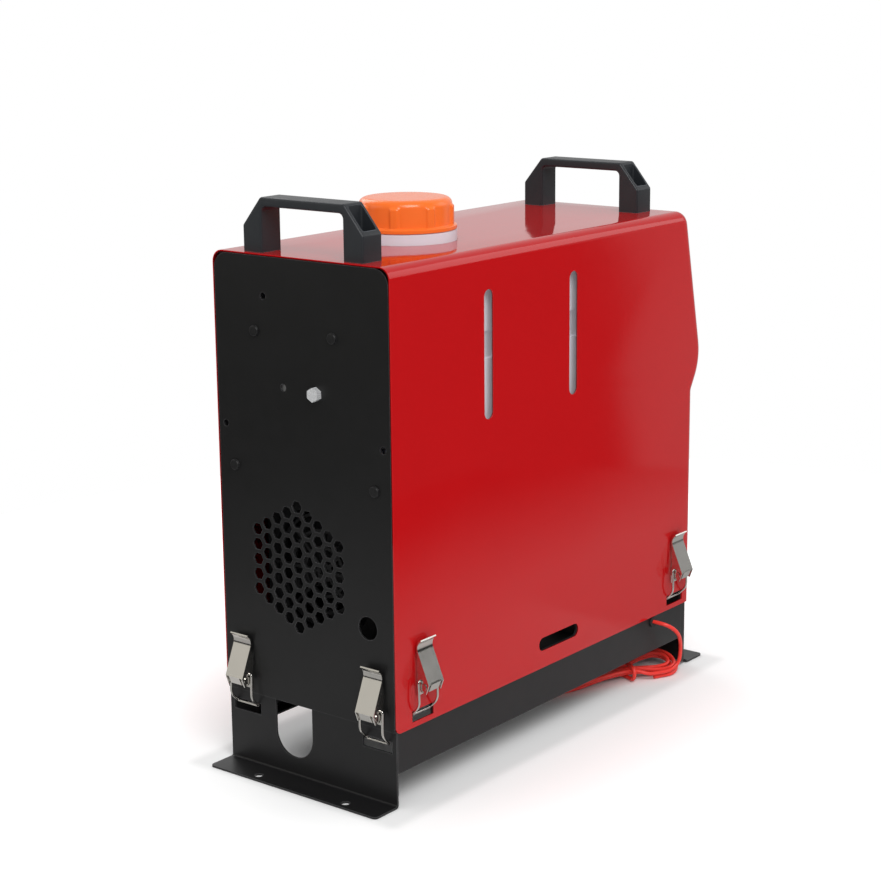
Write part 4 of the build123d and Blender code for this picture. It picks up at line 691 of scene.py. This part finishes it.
def ribbed_cap(cap, axis, foot):
    """Hollow filler cap with a rim, broad upright ribs and a rounded shoulder."""
    form = bmesh.new()
    around = 240
    rings = []
    for radius, height in cap_profile(cap):
        if radius == 0.0:
            rings.append([form.verts.new((*axis, foot + height))])
            continue
        ring = []
        for step in range(around):
            turn = math.tau * step / around
            outer = radius + (rib_height(cap, turn, height) if radius > cap.radius * 0.96 else 0.0)
            x, y = axis[0] + outer * math.cos(turn), axis[1] + outer * math.sin(turn)
            ring.append(form.verts.new((x, y, foot + height)))
        rings.append(ring)
    for lower, upper in zip(rings, rings[1:]):
        for step in range(around):
            after = (step + 1) % around
            corners = [lower[step % len(lower)], lower[after % len(lower)]]
            corners += [upper[after % len(upper)], upper[step % len(upper)]]
            form.faces.new(list(dict.fromkeys(corners)))
    bmesh.ops.recalc_face_normals(form, faces=form.faces)
    mesh = bpy.data.meshes.new("filler_cap")
    form.to_mesh(mesh)
    form.free()
    piece = bpy.data.objects.new("filler_cap", mesh)
    bpy.context.scene.collection.objects.link(piece)
    return piece


class HEATER_OT_tank(bpy.types.Operator):
    """Finish the fuel tank with its cap, seal, shelf and straps"""
    bl_idname = "heater.tank"
    bl_label = "Fuel Tank"

    def execute(self, context):
        colours = context.scene.heater_colours
        # The tank's long sides get a painted glow.
        milky = moulded_plastic("tank_plastic", colours.tank, gloss=0.40, grain=0.15, through=0.25, glow=0.13)
        dress(milky, "tank_plastic", "fuel_tank")
        self.cap(context)
        dress(rubber("seal_rubber", colours.rubber), "black_rubber", "cap_seal")
        dress(plated_metal("galvanised_sheet", scaled(colours.zinc, 0.85), gloss=0.36), "sheet_zinc",
              "tank_shelf", "tank_straps", "tank_bracket")
        return {"FINISHED"}

    def cap(self, context):
        """Ribbed cap in the place of the plain one, turning with it."""
        low, high = [Vector(corner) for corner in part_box("fuel_cap")]
        middle = (low + high) / 2
        piece = ribbed_cap(context.scene.heater_cap, (middle.x, middle.y), low.z)
        colour_of_cap = context.scene.heater_colours.cap
        orange = moulded_plastic("cap_plastic", colour_of_cap, gloss=0.2, grain=0.12, through=0.06)
        piece.data.materials.append(orange)
        smooth_bends(piece)
        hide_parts("fuel_cap")
        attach(piece, "cap")


class HEATER_OT_core(bpy.types.Operator):
    """Finish the heater core with its casing, castings, fan and fuel line"""
    bl_idname = "heater.core"
    bl_label = "Heater Core"

    def execute(self, context):
        colours = context.scene.heater_colours
        dress(moulded_plastic("core_plastic", colours.casing, gloss=0.5, grain=0.4), "core_plastic",
              "core_shell_lower", "core_shell_upper", "inlet_grille", "outlet_cone", "outlet_collar",
              "outlet_louvre", "control_unit")
        dress(moulded_plastic("fan_plastic", scaled(colours.casing, 1.3), gloss=0.4, grain=0.3),
              "fan_plastic", "air_fan", "air_impeller")
        dress(cast_metal("cast_aluminium", colours.casting),
              "cast_aluminium", "blower_scroll", "heat_exchanger")
        dress(plated_metal("burner_steel", scaled(colours.zinc, 0.7), gloss=0.3), "burner_steel",
              "burner_tube", "glow_plug", "rotor_shaft")
        dress(plated_metal("motor_steel", (0.05, 0.05, 0.052), gloss=0.4), "black_steel", "fan_motor")
        dress(plated_metal("pump_zinc", colours.zinc, gloss=0.3), "zinc_plate", "fuel_pump")
        dress(rubber("line_rubber", colours.rubber), "black_rubber", "fuel_lines", "pump_clamp")
        dress(moulded_plastic("filter_plastic", (0.62, 0.62, 0.60), gloss=0.2, grain=0.05, through=0.3),
              "filter_plastic", "fuel_filter")
        dress(fibre("gasket_fibre", (0.16, 0.14, 0.12)), "gasket_fibre", "core_gasket")
        return {"FINISHED"}


class HEATER_OT_controller(bpy.types.Operator):
    """Finish the controller on the console's slope"""
    bl_idname = "heater.controller"
    bl_label = "Controller"

    def execute(self, context):
        dress(moulded_plastic("controller_plastic", (0.012, 0.012, 0.013), gloss=0.32, grain=0.2),
              "controller_plastic", "controller_bezel")
        dress(display_window("screen_glass"), "screen_glass", "controller_screen")
        keys = moulded_plastic("button_plastic", (0.075, 0.075, 0.08), gloss=0.5, grain=0.3)
        dress(keys, "button_plastic", *("button_" + name for name in BUTTONS))
        return {"FINISHED"}


# Studio

def soft_lamp(name, place, power, size):
    """Square soft light that faces the heater."""
    data = bpy.data.lights.new(name, "AREA")
    data.shape = "SQUARE"
    data.size = size
    data.energy = power
    lamp = bpy.data.objects.new(name, data)
    lamp.location = place
    lamp.rotation_euler = (Vector(LAMP_TARGET) - Vector(place)).to_track_quat("-Z", "Y").to_euler()
    bpy.context.scene.collection.objects.link(lamp)
    return lamp


def painted_floor_shadow(tree, parts):
    """Colour of the floor: a painted shadow, dark where the near cable slot shows the floor under the heater,
    pale elsewhere.
    """
    reaches = []
    for axis, place, spot, half in zip("XY", FLOOR_PLACE, SLOT_VIEW, SLOT_VIEW_HALF):
        reaches.append(maths(tree, "DIVIDE", beyond(tree, parts.outputs[axis], spot - place, 0.0), half))
    return stepped(tree, maths(tree, "MAXIMUM", *reaches), 0.6, 1.0, 0.04, 0.88)


def floor_glow(tree, parts):
    """Painted light that the seen floor gains away from the heater's footprint, lightening the heater's
    shadow close to its rim.
    """
    sides = zip("XY", FLOOR_PLACE, FOOTPRINT_HALF)
    reaches = [beyond(tree, parts.outputs[axis], -place, half) for axis, place, half in sides]
    away = maths(tree, "SQRT", summed_squares(tree, *reaches))
    rim = stepped(tree, away, 0.0, 0.014, 0.0, 0.16)
    return maths(tree, "ADD", rim, stepped(tree, away, 0.01, 0.2, 0.0, 0.26))


def floor_fade(tree, parts):
    """How much of the floor mirroring surfaces lose: more with distance from the heater."""
    sideways = beyond(tree, parts.outputs["Y"], -FLOOR_PLACE[1], 0.0)
    endways = beyond(tree, parts.outputs["X"], -FLOOR_PLACE[0], 0.2)
    lost = stepped(tree, sideways, 0.15, 0.62, 0.30, 1.0)
    return maths(tree, "MAXIMUM", lost, stepped(tree, endways, 0.0, 0.06, 0.0, 0.52))


def white_floor():
    """Pale floor that keeps the heater's soft shadow, with a painted shadow where the near cable slot shows
    it and painted light for the camera away from the footprint.
    """
    material = bpy.data.materials.new("floor_paper")
    material.use_nodes = True
    tree = material.node_tree
    shader = tree.nodes["Principled BSDF"]
    output = tree.nodes["Material Output"]
    shader.inputs["Roughness"].default_value = 0.9
    shader.inputs["Specular IOR Level"].default_value = 0.0
    place = tree.nodes.new("ShaderNodeTexCoord")
    parts = tree.nodes.new("ShaderNodeSeparateXYZ")
    tree.links.new(place.outputs["Object"], parts.inputs["Vector"])
    # Painted shadow in the floor's base colour.
    tree.links.new(painted_floor_shadow(tree, parts), shader.inputs["Base Color"])
    path = tree.nodes.new("ShaderNodeLightPath")
    glow = tree.nodes.new("ShaderNodeEmission")
    # Painted light, seen only by camera rays.
    seen = maths(tree, "MULTIPLY", floor_glow(tree, parts), path.outputs["Is Camera Ray"])
    tree.links.new(seen, glow.inputs["Strength"])
    both = tree.nodes.new("ShaderNodeAddShader")
    tree.links.new(shader.outputs["BSDF"], both.inputs[0])
    tree.links.new(glow.outputs["Emission"], both.inputs[1])
    unlit = tree.nodes.new("ShaderNodeEmission")
    unlit.inputs["Strength"].default_value = 0.0
    mirrored = maths(tree, "MULTIPLY", floor_fade(tree, parts), path.outputs["Is Glossy Ray"])
    choice = tree.nodes.new("ShaderNodeMixShader")
    tree.links.new(mirrored, choice.inputs["Fac"])
    tree.links.new(both.outputs["Shader"], choice.inputs[1])
    tree.links.new(unlit.outputs["Emission"], choice.inputs[2])
    tree.links.new(choice.outputs["Shader"], output.inputs["Surface"])
    return material


class HEATER_OT_stage(bpy.types.Operator):
    """Set up the camera, the pale floor, the white background and the soft lamps"""
    bl_idname = "heater.stage"
    bl_label = "Studio"

    def execute(self, context):
        studio = context.scene.heater_studio
        self.camera(context.scene, studio)
        mesh = bpy.data.meshes.new("floor")
        around = [math.tau * step / 96 for step in range(96)]
        reach = studio.floor_radius
        rim = [(reach * math.cos(turn), reach * math.sin(turn), 0) for turn in around]
        mesh.from_pydata(rim, [], [range(96)])
        mesh.materials.append(white_floor())
        floor = bpy.data.objects.new("floor", mesh)
        floor.location = FLOOR_PLACE
        context.scene.collection.objects.link(floor)
        lamps = {name: soft_lamp(name, *settings) for name, settings in LAMPS.items()}
        lamps["side_wall"].data.color = WALL_TINT
        self.surroundings(context.scene, studio)
        context.scene.view_settings.view_transform = "Standard"
        return {"FINISHED"}

    def camera(self, scene, studio):
        """Camera at the photograph's viewing angle."""
        yaw, pitch, roll = studio.yaw, studio.pitch, studio.roll
        forward = Vector((math.sin(yaw) * math.cos(pitch), math.cos(yaw) * math.cos(pitch), -math.sin(pitch)))
        level = Vector((math.cos(yaw), -math.sin(yaw), 0.0))
        rise = level.cross(forward)
        right = level * math.cos(roll) + rise * math.sin(roll)
        up = rise * math.cos(roll) - level * math.sin(roll)
        camera = bpy.data.objects.new("camera", bpy.data.cameras.new("camera"))
        camera.data.lens = studio.lens
        camera.data.sensor_width = 36.0
        camera.data.clip_start, camera.data.clip_end = 0.05, 50.0
        turned = Matrix((right, up, -forward)).transposed().to_4x4()
        camera.matrix_world = Matrix.Translation(studio.place) @ turned
        scene.collection.objects.link(camera)
        scene.camera = camera

    def surroundings(self, scene, studio):
        """White where it's seen, with an even ambient light for the rest."""
        world = bpy.data.worlds.new("studio_world")
        scene.world = world
        world.use_nodes = True
        tree = world.node_tree
        background = tree.nodes["Background"]
        background.inputs["Color"].default_value = (1.0, 1.0, 1.0, 1.0)
        path = tree.nodes.new("ShaderNodeLightPath")
        facing = tree.nodes.new("ShaderNodeVectorMath")
        facing.operation = "DOT_PRODUCT"
        facing.inputs[1].default_value = (math.sin(studio.yaw), math.cos(studio.yaw), BACKDROP_TILT)
        tree.links.new(tree.nodes.new("ShaderNodeTexCoord").outputs["Generated"], facing.inputs[0])
        backdrop = tree.nodes.new("ShaderNodeValToRGB")
        stops = backdrop.color_ramp.elements
        stops.remove(stops[1])
        stops[0].position, stops[0].color = BACKDROP_START, (studio.dark_side,) * 3 + (1.0,)
        for position, level in BACKDROP:
            stops.new(position).color = (level, level, level, 1.0)
        tree.links.new(facing.outputs["Value"], backdrop.inputs["Fac"])
        mirrored = tree.nodes.new("ShaderNodeMapRange")
        mirrored.inputs["To Min"].default_value = studio.ambient
        tree.links.new(path.outputs["Is Glossy Ray"], mirrored.inputs["Value"])
        tree.links.new(backdrop.outputs["Color"], mirrored.inputs["To Max"])
        strength = tree.nodes.new("ShaderNodeMapRange")
        strength.inputs["To Max"].default_value = 1.0
        straight = tree.nodes.new("ShaderNodeMath")
        straight.operation = "MAXIMUM"
        tree.links.new(path.outputs["Is Camera Ray"], straight.inputs[0])
        tree.links.new(path.outputs["Is Transmission Ray"], straight.inputs[1])
        tree.links.new(straight.outputs[0], strength.inputs["Value"])
        tree.links.new(mirrored.outputs["Result"], strength.inputs["To Min"])
        tree.links.new(strength.outputs["Result"], background.inputs["Strength"])


class HEATER_PT_sidebar(bpy.types.Panel):
    """Heater tools in the 3D view's sidebar"""
    bl_label = "Portable Air Heater"
    bl_idname = "HEATER_PT_sidebar"
    bl_space_type = "VIEW_3D"
    bl_region_type = "UI"
    bl_category = "Heater"

    def draw(self, context):
        scene = context.scene
        for group in (scene.heater_colours, scene.heater_lead, scene.heater_cap, scene.heater_studio):
            column = self.layout.column(align=True)
            for name in group.__annotations__:
                column.prop(group, name)
        column = self.layout.column(align=True)
        for operator in OPERATORS:
            column.operator(operator.bl_idname)


OPERATORS = (
    HEATER_OT_stage,
    HEATER_OT_lead,
    HEATER_OT_hood,
    HEATER_OT_end_plate,
    HEATER_OT_base,
    HEATER_OT_latches,
    HEATER_OT_handles,
    HEATER_OT_tank,
    HEATER_OT_core,
    HEATER_OT_controller,
)
GROUPS = (HeaterColours, HeaterLead, HeaterCap, HeaterStudio)


def register():
    """Register the groups, operators and panel."""
    for kind in (*GROUPS, *OPERATORS, HEATER_PT_sidebar):
        bpy.utils.register_class(kind)
    bpy.types.Scene.heater_colours = PointerProperty(type=HeaterColours)
    bpy.types.Scene.heater_lead = PointerProperty(type=HeaterLead)
    bpy.types.Scene.heater_cap = PointerProperty(type=HeaterCap)
    bpy.types.Scene.heater_studio = PointerProperty(type=HeaterStudio)


def unregister():
    """Take the groups, operators and panel out again."""
    del bpy.types.Scene.heater_studio
    del bpy.types.Scene.heater_cap
    del bpy.types.Scene.heater_lead
    del bpy.types.Scene.heater_colours
    for kind in reversed((*GROUPS, *OPERATORS, HEATER_PT_sidebar)):
        bpy.utils.unregister_class(kind)


def main():
    """Build the whole scene."""
    register()
    bpy.ops.heater.stage()
    bpy.ops.heater.lead()
    bpy.ops.heater.hood()
    bpy.ops.heater.end_plate()
    bpy.ops.heater.base()
    bpy.ops.heater.latches()
    bpy.ops.heater.handles()
    bpy.ops.heater.tank()
    bpy.ops.heater.core()
    bpy.ops.heater.controller()


if __name__ == "__main__":
    main()
